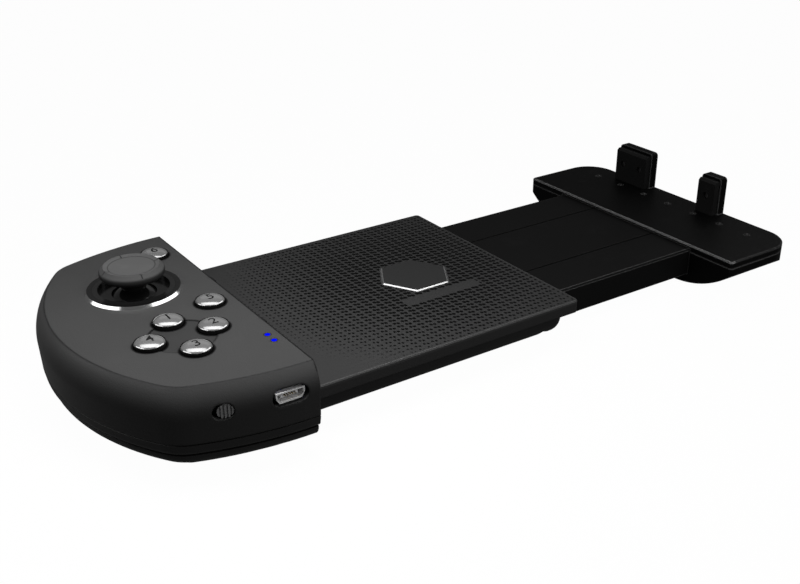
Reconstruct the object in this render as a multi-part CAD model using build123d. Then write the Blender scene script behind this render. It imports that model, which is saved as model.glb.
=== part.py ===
from build123d import *
from math import asin, atan2, cos, degrees, hypot, radians, sin, sqrt
import os

# A one-handed phone game pad with a telescopic bracket, in millimetres.
# It is drawn with x = 0 on the seam between the pad and the phone tray, +X towards the hooks,
# y = 0 on the middle line and z = 0 on the tray's top face. At the end all of it is moved,
# so that the origin lies on the resting plane, under the middle of the whole object's box.

# Shared fits
slide_gap = 0.15            # between a moving part and the guide beside it
pin_gap = 0.05              # radial, round every pin and trunnion
seat_gap = 0.05             # between a piece and the pocket that it is pressed into
cut_over = 2.0              # overrun of a cut past the face that it opens
edge_break = 0.3            # small bevel on outer edges

# Angles
quarter_turn = 90

# Pad outline, seen from above
pad_half_length = 45.4      # middle line to the near or far edge of the top face, at the seam
pad_reach = 46.0            # seam to the farthest point of the palm edge of the top face
palm_radius = 63.0
flank_radius = 86.0
pad_corner_radius = 10.0
rim_depth_share = 0.8       # of the corner radius: how deep the swept rim sections reach in

# Pad heights, from the tray's top face
pad_rise = 11.4
pad_drop = 13.0
parting_drop = 2.6
side_widest_z = 4.0
side_bulge_radius = 11.0
side_draft = 0.35
shell_wall = 2.0
seam_wall = 1.4
lip_height = 1.2
lip_wall = 0.9

# Lower cover outline: shares of the side bulge outwards, and of the cover's height downwards
band_shares = (0.77, 0.20)
band_round_shares = (0.61, 0.28)
waist_shares = (0.31, 0.32)
belly_shares = (0.44, 0.36)
belly_round_shares = (0.245, 0.53)
belly_low_shares = (-0.35, 0.655)
under_round_shares = (-1.57, 0.865)

# Face buttons
button_radius = 3.9
button_proud = 1.55
button_dome = 0.25
button_edge = 0.75
button_travel = 1.0
button_flange_lip = 0.45
button_flange = 1.0
button_stem_radius = 1.6
cluster_x = -20.5
cluster_share = -0.37225    # of the pad's half length, as the next ones
cluster_pitch = 8.4
cluster_inset_depth = 0.25
cluster_inset_radius = 8.6
lone_button_x = -6.8
lone_button_share = -0.0837
far_button_share = 0.72467

# Rubber membrane under the buttons
web_thickness = 0.7
web_margin = 5.1
collar_gap = 0.3
collar_wall = 0.8
collar_height = 1.9

# Thumbstick
stick_x = -20.0
stick_share = 0.3348
ring_radius = 12.9
ring_rise = 0.7
ring_bevel = 0.6
ring_band = 1.3
plate_flange_lip = 1.1
well_radius = 9.5
well_depth = 1.5
well_floor = 1.2
pivot_z = 4.0
dome_radius = 8.6
dome_wall = 1.0
dome_reach_deg = 57
neck_radius = 3.3
shaft_radius = 1.6
peg_radius = 2.2
peg_length = 1.8
cap_radius = 8.6
cap_low = 3.5
cap_height = 3.6
cap_foot_radius = 5.7
cap_low_shares = (0.86, 0.12)       # of the cap's radius and height, as the next ones
cap_widest_shares = (1.0, 0.39)
cap_rim_shares = (0.95, 0.78)
cap_crest_shares = (0.86, 1.0)
cap_ring_shares = (0.80, 0.92)
cap_dish_share = 0.80
hub_size = 6.0
hub_height = 3.0
trunnion_radius = 0.9
tip_radius = 1.2
tip_length = 2.6
gimbal_outer = 10.4
gimbal_inner = 7.4
gimbal_height = 2.4
cradle_outer = 14.0
cradle_inner = 11.4
cradle_rise = 1.2
cradle_floor_drop = 3.6
cradle_floor = 0.8
click_travel = 0.3
housing_wall = 1.0
housing_floor = 0.8
housing_top_drop = 0.6
spring_height = 2.2
spring_radius = 2.8
spring_wire = 0.2
spring_turns = 2
sensor_width = 9.0
sensor_height = 6.0
sensor_depth = 2.4
click_switch_size = 3.0
stay_radius = 0.6
stick_board_margin = 1.2

# Boards, battery and fixings in the pad
board_z = 2.6
board_thickness = 1.2
board_inset = 0.9
board_seam_gap = 0.3
board_notch_gap = 0.5
battery_reach_shares = (-0.65217, -0.19565)
battery_length_shares = (-0.52863, 0.08811)
battery_height = 6.0
battery_round = 1.2
post_radius = 2.5
post_bore = 1.15
thin_post_radius = 1.7
screw_radius = 1.0
screw_head_radius = 1.8
screw_head = 1.1
screw_slot = 0.35
screw_slot_depth = 0.35
screw_bore_gap = 0.2
pad_screw_sink = 4.2
corner_screw_shares = (-0.90356, 0.6828)    # of the reach to the corner's end, and of the half length
palm_screw_inset = 7.5
seam_screw_x = -5.2
seam_screw_share = -0.28634
stick_screw_aside = 15.4
stick_screw_before = 6.4
foot_radius = 4.0
foot_sink = 0.5
foot_proud = 1.5
pad_foot_shares = ((-0.7174, 0.28634), (-0.7174, -0.28634), (-0.23913, -0.66079), (-0.23913, 0.66079))

# Status lights
led_x = -3.0
led_near_share = -0.69604
led_pitch = 3.5
led_radius = 0.7
led_size = 1.3
led_height = 0.8

# Charging socket and power switch in the near wall
usb_x = -7.6
usb_width = 7.6
usb_height = 2.8
usb_depth = 5.4
usb_wall = 0.35
usb_set_back = 0.8
usb_taper = 0.9
usb_slot_gap = 0.85
usb_tongue_width = 4.6
usb_tongue = 0.6
usb_tongue_length = 4.2
usb_lid = 1.2
switch_along = 23.14        # round the pad's edge from the seam
switch_z = 4.9
switch_slot_width = 5.3
switch_slot_height = 4.0
switch_knob_width = 4.0
switch_knob_height = 3.4
switch_travel = 1.0
switch_recess = 0.35
switch_plate_width = 7.4
switch_plate = 0.8
switch_plate_in = 0.45
switch_body_width = 8.6
switch_body_depth = 3.0
switch_ribs = 4
switch_rib_share = 0.5      # of the rib spacing: width of each rib
switch_rib_depth = 0.3
switch_fork_width = 1.0
switch_fork_depth = 1.2

# Shoulder keys in the far wall
key_outer_shares = (0.81612, 0.46927)    # of the reach to the corner's end, as the next ones
key_inner_shares = (0.41972, 0.08161)
key_outer_pin_share = 0.76074
key_inner_pin_share = 0.04809        # from where the barrel clears the seam wall
key_nose_shares = (0.53339, 0.35559)
key_z0 = -0.5
key_z1 = 6.9
key_gap = 0.3
key_end_gap = 0.7
key_proud = 2.2
key_round = 0.8
key_flange = 1.0
key_flange_lip = 0.7
key_flange_in = 0.1
key_pin_in = 3.4
key_barrel_radius = 1.5
key_pin_radius = 0.8
key_pin_reach = 1.2
key_nose_width = 2.0
key_nose_length = 1.1
key_press = 0.8             # how far the free end goes in
key_switch_depth = 2.8
key_switch_size = 3.0
key_board = 1.0
key_board_inset = 1.1

# Phone tray
tray_length = 89.7
tray_half_width = 40.0
tray_edge = 3.7
tray_skin = 1.6
tray_corner_radius = 1.5
tray_floor_drop = 12.0
tray_body_half_width = 36.0
tray_body_radius = 5.2
tray_body_set_back = 0.8
tray_body_end_radius = 4.0
tray_floor = 1.3
tray_pocket_wall = 1.6
tray_pocket_in = 3.0
tongue_inner_y = 20.0
tongue_outer_y = 28.0
tongue_reach = 6.0
tongue_top_drop = 5.2
tongue_thickness = 3.0
badge_share = 0.67336       # of the tray's length
badge_radius = 11.05
badge_thickness = 0.85
badge_sink = 0.5
badge_bevel = 0.3
bumper_shares = (0.22026, -0.43172)
bumper_width = 2.4
bumper_low_z = 6.4
bumper_top_z = 11.0
bumper_proud = 0.9
bumper_sink = 0.6
bumper_round = 0.4
tray_screw_from_seam = 6.0
tray_screw_from_end = 7.7
tray_screw_inset = 2.8

# Telescopic slide
slide_half_width = 29.97
slide_top_drop = 1.75
slide_bottom_drop = 10.4
slide_skin = 1.8
slide_wall = 1.8
slide_length = 91.0
slide_in_clamp = 5.5
slide_edge_bevel = 0.6
groove_y = 13.76
groove_width = 0.6
groove_depth = 0.5
slide_base = 1.2
rail_width = 3.0
rail_height = 4.6
rail_y = 25.6
ear_length = 4.0
ear_reach = 0.95
ear_from_end = 12.6
ear_channel_in = 5.9
brake_length = 12.0
brake_width = 16.0
brake_from_end = 13.7
brake_sink = 0.7
slide_post_radius = 2.2
slide_screw_y = 20.0
slide_screw_inset = 3.2

# Clamp at the far end of the slide, with its two hooks
clamp_front_x = 146.16
clamp_back_x = 176.4
clamp_half_length = 46.8
clamp_top_drop = 0.46
clamp_parting_drop = 2.7
clamp_end_drop = 5.2
clamp_drop = 13.8
clamp_corner_radius = 10.0
clamp_front_corner = 1.0
clamp_wall = 1.8
clamp_nose_height = 4.6
clamp_belly_half_share = 0.50       # of the half length: where the flat underside ends
clamp_shoulder_shares = (0.80, 0.68)
clamp_end_shares = (0.97, 0.14)
clamp_back_flat_share = 0.60        # of the depth: where the underside starts to rise
clamp_back_round_shares = (0.86, 0.74)
wide_hook_y = 22.0
wide_hook_width = 15.4
narrow_hook_y = -13.1
narrow_hook_width = 8.2
hook_back_x = 176.2
hook_plate = 3.0
hook_top_z = 12.3
hook_round = 1.2
hook_pad_margin = 0.5
hook_pad = 2.2
hook_pad_top_drop = 1.1
hook_pad_bevel = 0.7
hook_hole_radius = 1.15
hook_hole_z = 5.8
wide_hole_half_pitch = 4.0
hook_screw_sink = 0.9
hook_screw_reach = 2.0
nub_x = 167.7
nub_pitch = 11.47
nub_count = 7
nub_radius = 0.85
nub_proud = 0.5
nub_sink = 0.6
clamp_foot_radius = 3.0
clamp_foot_half_pitch = 18.0
clamp_foot_x = 156.0
clamp_screw_places = ((163.0, 36.0), (163.0, -36.0), (168.0, 12.0), (168.0, -12.0))

# Places worked out from the sizes above
rim_depth = rim_depth_share * pad_corner_radius
cluster_y = cluster_share * pad_half_length
lone_button_y = lone_button_share * pad_half_length
far_button_y = far_button_share * pad_half_length
stick_y = stick_share * pad_half_length
led_near_y = led_near_share * pad_half_length
bumper_y_places = [share * pad_half_length for share in bumper_shares]
pad_foot_places = [(along * pad_reach, across * pad_half_length) for along, across in pad_foot_shares]
battery_x0, battery_x1 = [share * pad_reach for share in battery_reach_shares]
battery_y0, battery_y1 = [share * pad_half_length for share in battery_length_shares]
badge_x = badge_share * tray_length
brake_x = tray_length - brake_from_end
tray_screw_x_places = (tray_screw_from_seam, tray_length - tray_screw_from_end)
tray_screw_y = tray_body_half_width - tray_screw_inset
tray_screw_places = [(x, side * tray_screw_y) for x in tray_screw_x_places for side in (1, -1)]
side_bulge = side_bulge_radius - sqrt(side_bulge_radius**2 - (pad_rise - side_widest_z)**2)
parting_out = side_bulge - side_draft
flank_centre_y = flank_radius - pad_half_length
palm_centre_x = palm_radius - pad_reach
cover_height = pad_drop - parting_drop
shell_roof_z = pad_rise - shell_wall
board_top_z = board_z + board_thickness
cover_floor_z = shell_wall - pad_drop
plate_top_z = pad_rise + ring_rise
well_floor_z = plate_top_z - well_depth
cap_foot_z = pad_rise + cap_low
cradle_top_z = pivot_z + cradle_rise
cradle_bottom_z = pivot_z - cradle_floor_drop - cradle_floor
housing_floor_z = cradle_bottom_z - spring_height
stick_board_z = housing_floor_z - housing_floor - board_thickness
housing_outer = cradle_outer + 2 * (slide_gap + housing_wall)
floor_drop = pad_drop + foot_proud
slide_end_x = clamp_front_x + slide_in_clamp
slide_start_x = slide_end_x - slide_length
hook_front_x = hook_back_x - hook_plate - hook_pad
key_out = side_bulge + key_proud


# Shape helpers
def block(x0, x1, y0, y1, z0, z1):
    centre = Pos((x0 + x1) / 2, (y0 + y1) / 2, (z0 + z1) / 2)
    return centre * Box(x1 - x0, y1 - y0, z1 - z0)


def disc(x, y, radius, z0, z1):
    return Pos(x, y, (z0 + z1) / 2) * Cylinder(radius, z1 - z0)


def square(size, z0, z1):
    half = size / 2
    return Pos(stick_x, stick_y) * block(-half, half, -half, half, z0, z1)


def turned(points):
    # A solid of revolution about Z, from (radius, height) points.
    outline = Polyline([(r, 0, z) for r, z in points], close=True)
    return revolve(make_face(outline), Axis.Z)


def rounded_slot(width, height, depth):
    # A slot with fully rounded ends, lying in the XY plane and standing up along Z.
    return extrude(SlotOverall(width, height), depth)


def all_of(solids):
    # Separate solids of one node, kept as one compound.
    return Compound(children=[solid for group in solids for solid in group.solids()])


def screw(x, y, seat_z, tip_z, head_height):
    # A screw that points up, with its head under seat_z and a cross recess in it.
    head_z = seat_z - head_height
    head = disc(x, y, screw_head_radius, head_z, seat_z)
    shank = disc(x, y, screw_radius, seat_z, tip_z)
    reach = screw_head_radius - screw_slot
    half = screw_slot / 2
    floor = head_z - cut_over
    top = head_z + screw_slot_depth
    bars = block(-reach, reach, -half, half, floor, top) + block(-half, half, -reach, reach, floor, top)
    return head + shank - Pos(x, y) * bars


# Pad outline and skins
def corner_centre():
    # Centre of the rounding between flank and palm edge on the near side.
    flank = flank_radius - pad_corner_radius
    palm = palm_radius - pad_corner_radius
    span = hypot(palm_centre_x, flank_centre_y)
    along = (flank**2 - palm**2 + span**2) / (2 * span)
    aside = sqrt(flank**2 - along**2)
    ux, uy = palm_centre_x / span, -flank_centre_y / span
    return along * ux + aside * uy, flank_centre_y + along * uy - aside * ux


corner_x, corner_y = corner_centre()
flank_end = degrees(atan2(corner_y - flank_centre_y, corner_x))
corner_end = degrees(atan2(corner_y, corner_x - palm_centre_x))
corner_reach = -palm_centre_x - palm_radius * cos(radians(corner_end))
key_outer_x0, key_outer_x1 = [-share * corner_reach for share in key_outer_shares]
key_inner_x0, key_inner_x1 = [-share * corner_reach for share in key_inner_shares]
key_inner_pin_x = -seam_wall - slide_gap - key_barrel_radius - key_inner_pin_share * corner_reach
key_pin_x_places = [-key_outer_pin_share * corner_reach, key_inner_pin_x]
key_nose_x_places = [-share * corner_reach for share in key_nose_shares]
corner_screw_x = corner_screw_shares[0] * corner_reach
corner_screw_y = corner_screw_shares[1] * pad_half_length
pad_screw_places = [
    (corner_screw_x, -corner_screw_y),
    (palm_screw_inset - pad_reach, 0),
    (seam_screw_x, seam_screw_share * pad_half_length),
    (corner_screw_x, corner_screw_y),
    (stick_x + stick_screw_aside, stick_y - stick_screw_before),
]
key_board_width = key_inner_x1 - key_outer_x0 - 2 * key_board_inset
key_middle_x = (key_outer_x0 + key_inner_x1) / 2


def pad_edge(grow):
    # The curved edge of the pad, from the near end of the seam round to its far end.
    flank_span = quarter_turn + flank_end
    corner_span = corner_end - flank_end
    palm_span = -2 * (2 * quarter_turn + corner_end)
    return [
        CenterArc((0, flank_centre_y), flank_radius + grow, -quarter_turn, flank_span),
        CenterArc((corner_x, corner_y), pad_corner_radius + grow, flank_end, corner_span),
        CenterArc((palm_centre_x, 0), palm_radius + grow, corner_end, palm_span),
        CenterArc((corner_x, -corner_y), pad_corner_radius + grow, -corner_end, corner_span),
        CenterArc((0, -flank_centre_y), flank_radius + grow, -flank_end, flank_span),
    ]


def pad_plate(grow, z0, z1):
    half = pad_half_length + grow
    outline = pad_edge(grow) + [Line((0, half), (0, -half))]
    return Pos(0, 0, z0) * extrude(make_face(outline), z1 - z0)


def rim_point(out, z):
    return (0, -pad_half_length - out, z)


def rim(edges):
    return sweep(make_face(edges), path=Wire(pad_edge(0)))


def behind_seam():
    far = pad_half_length + pad_reach
    return block(-far, -seam_wall, -far, far, -pad_drop - far, pad_rise + far)


def roof_form(inset, low_z):
    # The pad's upper half, drawn in by inset all round, down to low_z.
    radius = side_bulge_radius - inset
    middle = side_bulge - side_bulge_radius
    top = pad_rise - inset
    widest = side_bulge - inset
    lift = asin((top - side_widest_z) / radius)
    start = rim_point(middle + radius * cos(lift), top)
    waypoint = rim_point(middle + radius * cos(lift / 2), side_widest_z + radius * sin(lift / 2))
    drafted = widest - side_draft
    inner_top = rim_point(-rim_depth, top)
    inner_low = rim_point(-rim_depth, low_z)
    outer_low = rim_point(drafted, low_z)
    edges = [
        Line(inner_low, inner_top),
        Line(inner_top, start),
        ThreePointArc(start, waypoint, rim_point(widest, side_widest_z)),
        Line(rim_point(widest, side_widest_z), outer_low),
        Line(outer_low, inner_low),
    ]
    return rim(edges) + pad_plate(-rim_depth + shell_wall, low_z, top)


def cover_point(shares):
    return rim_point(shares[0] * side_bulge, -parting_drop - shares[1] * cover_height)


def cover_form():
    # The pad's lower half: a band under the parting line, a waist, and a rounded belly.
    inner_top = rim_point(-rim_depth, -parting_drop)
    bevelled = rim_point(parting_out - edge_break, -parting_drop)
    outer = rim_point(parting_out, -parting_drop - edge_break)
    low = rim_point(-rim_depth, -pad_drop)
    edges = [
        Line(inner_top, bevelled),
        Line(bevelled, outer),
        Line(outer, cover_point(band_shares)),
        ThreePointArc(cover_point(band_shares), cover_point(band_round_shares), cover_point(waist_shares)),
        Line(cover_point(waist_shares), cover_point(belly_shares)),
        ThreePointArc(cover_point(belly_shares), cover_point(belly_round_shares),
                      cover_point(belly_low_shares)),
        ThreePointArc(cover_point(belly_low_shares), cover_point(under_round_shares), low),
        Line(low, inner_top),
    ]
    return rim(edges) + pad_plate(-rim_depth + shell_wall, -pad_drop, -parting_drop)


def cover_hollow():
    top_z = -parting_drop + cut_over
    inner_top = rim_point(-rim_depth, top_z)
    outer_top = rim_point(parting_out - shell_wall, top_z)
    outer = rim_point(parting_out - shell_wall, -parting_drop)
    band = cover_point(band_shares)
    waist = cover_point(waist_shares)
    belly = cover_point(belly_low_shares)
    steps = [
        inner_top,
        outer_top,
        outer,
        (0, band[1] + shell_wall, band[2]),
        (0, waist[1] + shell_wall, waist[2]),
        (0, belly[1] + shell_wall, belly[2] + shell_wall / 2),
        rim_point(-rim_depth, cover_floor_z),
    ]
    hollow = rim(Polyline(steps, close=True).edges())
    core = pad_plate(-rim_depth + shell_wall, cover_floor_z, top_z)
    return (hollow + core) & behind_seam()


# Places round the pad's flanks
def flank_angle(x):
    return degrees(asin(x / flank_radius))


def edge_turn(along):
    # The arc that a length round the near edge from the seam ends on: centre, radius and heading there.
    flank_length = radians(-quarter_turn - flank_end) * flank_radius
    corner_length = radians(flank_end - corner_end) * pad_corner_radius
    if along < flank_length:
        return 0, flank_centre_y, flank_radius, -quarter_turn - degrees(along / flank_radius)
    past = along - flank_length
    if past < corner_length:
        return corner_x, corner_y, pad_corner_radius, flank_end - degrees(past / pad_corner_radius)
    past -= corner_length
    return palm_centre_x, 0, palm_radius, corner_end - degrees(past / palm_radius)


def near_wall(along, z):
    # A plane on the near edge: local X along the wall, local Y up, local Z outwards.
    centre_x, centre_y, radius, heading = edge_turn(along)
    out_x, out_y = cos(radians(heading)), sin(radians(heading))
    origin = (centre_x + radius * out_x, centre_y + radius * out_y, z)
    return Plane(origin, x_dir=(-out_y, out_x, 0), z_dir=(out_x, out_y, 0))


def far_wall(x, z):
    # A plane on the far flank: local X along the wall, local Y down, local Z outwards.
    turn = radians(flank_angle(-x))
    origin = (-flank_radius * sin(turn), flank_radius * cos(turn) - flank_centre_y, z)
    return Plane(origin, x_dir=(cos(turn), sin(turn), 0), z_dir=(-sin(turn), cos(turn), 0))


def far_point(x, out):
    turn = radians(flank_angle(-x))
    radius = flank_radius + out
    return -radius * sin(turn), radius * cos(turn) - flank_centre_y


def far_sector(x0, x1, out0, out1, z0, z1):
    # A block curved along the far flank, between two distances out from the top outline.
    xm = (x0 + x1) / 2
    outline = [
        ThreePointArc(far_point(x0, out0), far_point(xm, out0), far_point(x1, out0)),
        Line(far_point(x1, out0), far_point(x1, out1)),
        ThreePointArc(far_point(x1, out1), far_point(xm, out1), far_point(x0, out1)),
        Line(far_point(x0, out1), far_point(x0, out0)),
    ]
    return Pos(0, 0, z0) * extrude(make_face(outline), z1 - z0)


# Button places: four in a diamond, one beside them and one beyond the stick
button_places = {
    "button_north": (cluster_x, cluster_y + cluster_pitch),
    "button_east": (cluster_x + cluster_pitch, cluster_y),
    "button_south": (cluster_x, cluster_y - cluster_pitch),
    "button_west": (cluster_x - cluster_pitch, cluster_y),
    "button_seam": (lone_button_x, lone_button_y),
    "button_far": (lone_button_x, far_button_y),
}
led_places = [(led_x, led_near_y), (led_x, led_near_y + led_pitch)]
key_pin_places = [far_point(x, -key_pin_in) for x in key_pin_x_places]
key_pin_z0 = key_z0 - key_flange_lip - slide_gap - key_pin_reach
key_pin_z1 = key_z1 + key_flange_lip + slide_gap + key_pin_reach
stay_places = [(sx * cradle_outer / 2, sy * cradle_outer / 2) for sx in (-1, 1) for sy in (-1, 1)]


# Pad housing
def upper_shell():
    shell = roof_form(0, -parting_drop) - (roof_form(shell_wall, -parting_drop - cut_over) & behind_seam())
    for x, y in pad_screw_places:
        shell += disc(x, y, post_radius, board_top_z, shell_roof_z)
        shell -= disc(x, y, screw_radius + seat_gap / 2, -pad_drop, shell_roof_z - seat_gap)
    for x, y in key_pin_places:
        low = key_z1 + key_flange_lip + slide_gap
        shell += disc(x, y, key_barrel_radius, low, shell_roof_z)
        shell -= disc(x, y, key_pin_radius + seat_gap / 2, low - cut_over, key_pin_z1 + seat_gap)
    inset_floor = pad_rise - cluster_inset_depth
    shell -= disc(cluster_x, cluster_y, cluster_inset_radius, inset_floor, pad_rise + cut_over)
    for x, y in button_places.values():
        shell -= disc(x, y, button_radius + slide_gap, shell_roof_z - cut_over, pad_rise + cut_over)
    for x, y in led_places:
        shell -= disc(x, y, led_radius + seat_gap / 2, shell_roof_z - cut_over, pad_rise + cut_over)
    hole = ring_radius - ring_bevel
    shell -= disc(stick_x, stick_y, hole + seat_gap, shell_roof_z - cut_over, pad_rise + cut_over)
    shell -= usb_slot() + switch_slot() + key_window()
    for y in bumper_y_places:
        shell -= bumper(y, seat_gap / 2)
    return shell


def lower_cover():
    skin = cover_form()
    cover = skin - cover_hollow()
    lip_out = parting_out - shell_wall - seat_gap
    lip = pad_plate(lip_out, -parting_drop - lip_height, -parting_drop + lip_height)
    lip -= pad_plate(lip_out - lip_wall, -pad_drop, pad_rise)
    cover += lip & behind_seam()
    posts = [disc(x, y, post_radius, -pad_drop, board_z) for x, y in pad_screw_places]
    key_low = key_z0 - key_flange_lip - slide_gap
    posts += [disc(x, y, key_barrel_radius, -pad_drop, key_low) for x, y in key_pin_places]
    posts += [at_stick(disc(x, y, thin_post_radius, -pad_drop, stick_board_z)) for x, y in stay_places]
    posts += [far_wall(key_middle_x, 0) * key_board_rest(x - key_middle_x) for x in key_pin_x_places]
    column = pad_plate(-lip_wall, -parting_drop, pad_rise)
    for post in posts:
        cover += post & (skin + column)
    for x, y in pad_screw_places:
        cover -= disc(x, y, post_bore, -pad_drop - cut_over, board_z + cut_over)
        sink = disc(x, y, screw_head_radius + screw_bore_gap, -pad_drop - cut_over, -pad_drop + pad_screw_sink)
        cover -= sink
    for x, y in key_pin_places:
        cover -= disc(x, y, key_pin_radius + seat_gap / 2, key_pin_z0 - seat_gap, pad_rise)
    for x, y in pad_foot_places:
        cover -= disc(x, y, foot_radius + seat_gap, -pad_drop - cut_over, -pad_drop + foot_sink)
    for side in (-1, 1):
        cover -= tongue(side, seat_gap, cut_over)
    return cover


def key_board_rest(along):
    # A stub that the shoulder keys' board stands on, in the board's own plane.
    depth = key_pin_in + key_switch_depth + key_board
    half = key_board / 2
    back = block(-post_bore, post_bore, key_flange_lip - key_z0 + slide_gap, pad_drop, -half, half)
    return Pos(along, 0, -depth - half) * back


def pad_screws():
    seat, tip = -pad_drop + pad_screw_sink, shell_roof_z - screw_head
    return all_of([screw(x, y, seat, tip, screw_head) for x, y in pad_screw_places])


def pad_feet():
    return all_of([disc(x, y, foot_radius, -floor_drop, -pad_drop + foot_sink) for x, y in pad_foot_places])


# Face buttons and their membrane
def face_button(x, y):
    roof = shell_roof_z - seat_gap
    top = pad_rise + button_proud
    body = disc(0, 0, button_radius, roof - button_flange, top)
    body = fillet(body.edges().group_by(Axis.Z)[-1], button_edge)
    dome_radius_now = (button_radius**2 + button_dome**2) / (2 * button_dome)
    body += Pos(0, 0, top - dome_radius_now + button_dome) * Sphere(dome_radius_now) & disc(
        0, 0, button_radius - button_edge, roof, top + button_dome)
    body += disc(0, 0, button_radius + button_flange_lip, roof - button_flange, roof)
    foot = board_top_z + web_thickness + button_travel + slide_gap
    body += disc(0, 0, button_stem_radius, foot, roof)
    return Pos(x, y) * body


def rubber_membrane():
    low, high = board_top_z, board_top_z + web_thickness
    reach = cluster_pitch + web_margin
    web = block(cluster_x - reach, cluster_x + reach, cluster_y - reach, cluster_y + reach, low, high)
    reach = web_margin - web_thickness
    for y in (lone_button_y, far_button_y - collar_wall):
        web += block(lone_button_x - reach, lone_button_x + reach, y - reach, y + reach, low, high)
    for x, y in pad_screw_places:
        web -= disc(x, y, post_radius + slide_gap, low - cut_over, high + cut_over)
    bore = button_stem_radius + collar_gap
    for x, y in button_places.values():
        web += disc(x, y, bore + collar_wall, low, high + collar_height)
        web -= disc(x, y, bore, high, high + collar_height + cut_over)
    web -= key_board_room(low - cut_over, high + collar_height + cut_over)
    return all_of([web])


# Thumbstick: bezel, cap, shaft and gimbal
def at_stick(shape):
    return Pos(stick_x, stick_y) * shape


def stick_ring():
    inner = ring_radius - ring_bevel - ring_band
    band = ring_radius - ring_bevel
    points = [
        (inner, shell_roof_z), (band, shell_roof_z), (band, pad_rise),
        (ring_radius, pad_rise), (band, plate_top_z), (inner, plate_top_z),
    ]
    return at_stick(turned(points))


def stick_plate():
    outer = ring_radius - ring_bevel - ring_band - seat_gap
    flange = ring_radius + plate_flange_lip
    low = shell_roof_z - well_floor
    points = [
        (0, low), (flange, low), (flange, shell_roof_z), (outer, shell_roof_z),
        (outer, plate_top_z), (well_radius, plate_top_z), (well_radius, well_floor_z), (0, well_floor_z),
    ]
    plate = turned(points) - Pos(0, 0, pivot_z) * Sphere(dome_radius + collar_gap)
    for x, y in stay_places:
        plate += disc(x, y, stay_radius, cradle_top_z + seat_gap, shell_roof_z)
    plate = at_stick(plate)
    for x, y in button_places.values():
        plate -= disc(x, y, button_radius + button_flange_lip + slide_gap, low - cut_over, shell_roof_z)
    return plate


def cap_point(shares):
    return (shares[0] * cap_radius, 0, cap_foot_z + shares[1] * cap_height)


def stick_cap():
    # Outline in the XZ plane: foot, underside, rounded side, crest, ring line and hollow top.
    axis_low, foot = (0, 0, cap_foot_z), (cap_foot_radius, 0, cap_foot_z)
    low, widest, rim_side = cap_point(cap_low_shares), cap_point(cap_widest_shares), cap_point(cap_rim_shares)
    crest, ring_line = cap_point(cap_crest_shares), cap_point(cap_ring_shares)
    hollow_z = cap_foot_z + cap_dish_share * cap_height
    rise, middle = ring_line[2] - hollow_z, ring_line[0] / 2
    ball = (ring_line[0]**2 + rise**2) / (2 * rise)
    hollow_side = (middle, 0, hollow_z + ball - sqrt(ball**2 - middle**2))
    edges = [
        Line(axis_low, foot),
        Line(foot, low),
        ThreePointArc(low, widest, rim_side),
        Line(rim_side, crest),
        Line(crest, ring_line),
        ThreePointArc(ring_line, hollow_side, (0, 0, hollow_z)),
        Line((0, 0, hollow_z), axis_low),
    ]
    cap = revolve(make_face(edges), Axis.Z)
    cap -= disc(0, 0, peg_radius + seat_gap / 2, cap_foot_z - cut_over, cap_foot_z + peg_length)
    return at_stick(cap)


def stick_shaft():
    # Neck, dust dome, hub with its two trunnions along Y, and the tip below it.
    reach = 2 * dome_radius
    slope = radians(dome_reach_deg)
    wedge = turned([(0, 0), (reach * sin(slope), reach * cos(slope)), (0, reach)])
    dome = (Sphere(dome_radius) - Sphere(dome_radius - dome_wall)) & wedge
    foot = cap_foot_z - pivot_z
    shaft = dome + disc(0, 0, neck_radius, dome_radius - dome_wall / 2, foot)
    shaft += disc(0, 0, peg_radius, foot, foot + peg_length)
    shaft += disc(0, 0, shaft_radius, 0, dome_radius - dome_wall / 2)
    half, up = hub_size / 2, hub_height / 2
    shaft += block(-half, half, -half, half, -up, up)
    axle = gimbal_outer / 2
    shaft += Rot(90, 0, 0) * disc(0, 0, trunnion_radius, -axle, axle)
    shaft += disc(0, 0, tip_radius, -tip_length, 0)
    return at_stick(Pos(0, 0, pivot_z) * shaft)


def gimbal_ring():
    outer, inner, up = gimbal_outer / 2, gimbal_inner / 2, gimbal_height / 2
    ring = block(-outer, outer, -outer, outer, -up, up)
    axle = Rot(0, 90, 0) * disc(0, 0, trunnion_radius, -cradle_outer / 2, cradle_outer / 2)
    ring += axle
    ring -= block(-inner, inner, -inner, inner, -up - cut_over, up + cut_over)
    ring -= Rot(90, 0, 0) * disc(0, 0, trunnion_radius + pin_gap, -cradle_outer, cradle_outer)
    return at_stick(Pos(0, 0, pivot_z) * ring)


def gimbal_cradle():
    cup = square(cradle_outer, cradle_bottom_z, cradle_top_z)
    cup -= square(cradle_inner, cradle_bottom_z + cradle_floor, cradle_top_z + cut_over)
    bore = Rot(0, 90, 0) * disc(0, 0, trunnion_radius + pin_gap, -cradle_outer, cradle_outer)
    return cup - at_stick(Pos(0, 0, pivot_z) * bore)


def stick_housing():
    low = housing_floor_z - housing_floor
    inner = cradle_outer + 2 * slide_gap
    return square(housing_outer, low, pivot_z - trunnion_radius - housing_top_drop) - square(
        inner, housing_floor_z, cradle_top_z + cut_over)


def stick_spring():
    # A short open coil that carries the cradle and brings the pressed stick back up.
    rise = spring_height - 2 * spring_wire
    path = Helix(rise / spring_turns, rise, spring_radius)
    section = Plane(path @ 0, z_dir=path % 0) * Circle(spring_wire)
    coil = sweep(section, path=path, is_frenet=True)
    return at_stick(Pos(0, 0, housing_floor_z + spring_wire) * coil)


def stick_sensors():
    near, far = housing_outer / 2, housing_outer / 2 + sensor_depth
    half = sensor_width / 2
    low = housing_floor_z - housing_floor
    high = low + sensor_height
    along_x = block(near, far, -half, half, low, high)
    along_y = block(-half, half, near, far, low, high)
    return all_of([at_stick(along_x), at_stick(along_y)])


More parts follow.
